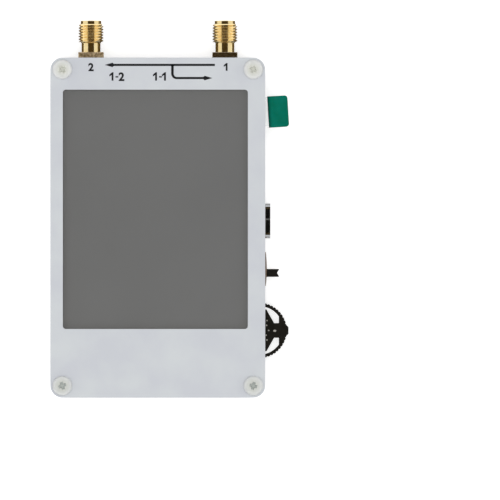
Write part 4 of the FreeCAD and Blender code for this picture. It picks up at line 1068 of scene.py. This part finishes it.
def chips():
    """Moulded bodies, their legs tinned; a dimple marks the first leg."""
    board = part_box("main_board")[0].z
    foot_height = 0.16      # of the legs' feet, under the board
    radius, depth, inwards, down = 0.25, 0.08, 1.55, 0.55       # a dimple, and its place from the corner
    for node in ("mixer_chips", "processor_chip", "clock_chip", "charger_chip"):
        piece = clean_copy(node, node + "_moulded")
        for low, high in solids_of(node):
            dimple = turned("dimple", [(0, -SPARE), (radius, -SPARE), (radius, depth), (0, depth)], steps=20)
            move(dimple, (low.x + inwards, high.y - down, low.z))
            shape_with(piece, dimple, "DIFFERENCE")
        soften(piece, 0.03)
        hand_over(piece, node)
        second_finish(piece, FINISHES["tinned_steel"],
                      lambda centre: centre.z > board - foot_height * MM)


def small_parts():
    """Chip resistors and capacitors: a ceramic middle between two tinned ends."""
    end, coat = 0.32, 0.03
    parts, caps = [], []
    for number, (low, high) in enumerate(solids_of("small_passives")):
        parts.append(block(f"ceramic_{number}", (low.x + coat, low.y + end, low.z + coat),
                           (high.x - coat, high.y - end, high.z)))
        for start in (low.y, high.y - end):
            cap = block(f"end_{number}", (low.x, start, low.z), (high.x, start + end, high.z), edge=0.05)
            caps.append(cap)
    hand_over(join(parts, "passive_middles"), "small_passives")
    ends = join(caps, "passive_ends")
    ends.data.materials.append(FINISHES["tinned_steel"])
    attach(ends, "root")


def other_parts():
    """Shield cans, the oscillator's can, the inductor and what else has only its edges rounded."""
    rounded("finished", {"shield_cans": 0.15, "codec_chip": 0.04, "oscillator_can": 0.3,
                         "power_inductor": 0.4, "status_lights": 0.08}, segments=3)


# ---- stage ----

def camera():
    """Straight down over the boards' front face, from so far that depth hardly shows."""
    view_width, view_centre = 125.7, (23.17, -5.63)
    lens, sensor = 900.0, 36.0
    height = FRONT_FACE + view_width * lens / sensor
    bpy.ops.object.camera_add(location=Vector((*view_centre, height)) * MM, rotation=(0, 0, 0))
    eye = bpy.context.object
    eye.data.lens = lens
    eye.data.sensor_width = sensor
    eye.data.clip_start, eye.data.clip_end = 0.01, 10.0
    bpy.context.scene.camera = eye


def seen_directly(material):
    """1 for rays from the camera, and for reflected and refracted ones."""
    rays = add_node(material, "LightPath", {}).outputs
    total = rays["Is Camera Ray"]
    for kind in ("Is Glossy Ray", "Is Transmission Ray"):
        either = add_node(material, "Math", {"operation": "ADD", "use_clamp": True, 0: total, 1: rays[kind]})
        total = either.outputs["Value"]
    return total


def floor():
    """A white floor that the object's soft shadow still darkens."""
    sheet_size, glow_strength = 6, 0.48     # metres, and the share of its white that no shadow takes
    sheet = primitive("plane", "studio_floor", size=sheet_size, location=(0, 0, cad_low.z))
    material = bpy.data.materials.new("studio white")
    material.use_nodes = True
    tree = material.node_tree
    shader = tree.nodes["Principled BSDF"]
    shader.inputs["Base Color"].default_value = paint("#F4F4F4")
    shader.inputs["Roughness"].default_value = 1.0
    shader.inputs["Specular IOR Level"].default_value = 0.0
    glow = add_node(material, "Math", {"operation": "MULTIPLY", 0: seen_directly(material),
                                       1: glow_strength})
    tree.links.new(glow.outputs["Value"], shader.inputs["Emission Strength"])
    sheet.data.materials.append(material)


def sky():
    """Even white surroundings, dimmer for what they cast on matt surfaces."""
    cast, seen = 0.42, 1.0
    world = bpy.data.worlds.new("studio")
    bpy.context.scene.world = world
    world.use_nodes = True
    level = add_node(world, "MapRange", {"Value": seen_directly(world), "To Min": cast, "To Max": seen})
    background = world.node_tree.nodes["Background"]
    background.inputs["Color"].default_value = paint("#FFFFFF")
    world.node_tree.links.new(level.outputs["Result"], background.inputs["Strength"])


def flag(name, finish, size, place, turn=(0, 0, 0)):
    """A card that only reflections see: it draws the dark streaks on bright metal."""
    card = primitive("plane", name, size=1)
    card.scale = (size[0] * MM, size[1] * MM, 1)
    move(card, place, turn)
    card.data.materials.append(finish)
    card.visible_camera = card.visible_diffuse = card.visible_shadow = False
    card.visible_transmission = card.visible_volume_scatter = False


def flags():
    """A brown card overhead, a black one over the cable socket, and a brown strip under the jacks."""
    dark_card = matt_card("dark card", "#5C4C31", "#584A30")
    black_card = matt_card("black card", "#1C1B19", "#1A1918")
    brown_card = matt_card("brown card", "#6E5F40", "#6A5B3D")
    face_down = (180, 0, 0)
    height, reaches = 900, (37, 48)     # the overhead card's height, and degrees that it covers each way
    size = [2 * height * math.tan(math.radians(reach)) for reach in reaches]
    flag("overhead_flag", dark_card, size, (0, 0, height), face_down)
    shell_low, shell_high = span("usb_shell")
    aside, height = 14, 300
    place = (shell_high.x + aside, (shell_low.y + shell_high.y) / 2, height)
    flag("socket_flag", black_card, (70, 60), place, face_down)
    jack_end = span("port_1_body")[1].y
    behind, lift = 15, 0.3
    flag("floor_flag", brown_card, (160, 34), (0, jack_end - behind, cad_low.z / MM + lift))


def lamp(name, place, turn, size, power):
    """An even light that mirrors don't show, with its place and size in metres."""
    bpy.ops.object.light_add(type="AREA", location=place, rotation=[math.radians(angle) for angle in turn])
    made = bpy.context.object
    made.name = name
    made.data.shape = "RECTANGLE"
    made.data.size, made.data.size_y = size
    made.data.energy = power
    made.visible_camera = made.visible_glossy = False


def lamps():
    """A broad lamp straight above, and faint softboxes left, right and near."""
    away, height, tilt = 0.62, 0.42, 56
    lamp("top_lamp", place=(0, 0, 1.2), turn=(0, 0, 0), size=(0.8, 0.8), power=7.0)
    for name, side in (("softbox_left", -1), ("softbox_right", 1)):
        lamp(name, place=(side * away, 0, height), turn=(0, side * tilt, 0), size=(0.5, 0.7), power=0.7)
    lamp("softbox_near", place=(0, -away, height), turn=(tilt, 0, 0), size=(0.7, 0.5), power=0.4)


# ---- the whole scene ----

camera()
floor()
sky()
flags()
lamps()
boards()
printing()
fasteners()
screen()
jacks()
cable_socket()
slide_switch()
jog_switch()
cell()
chips()
small_parts()
other_parts()

bpy.context.scene.view_settings.view_transform = "Standard"
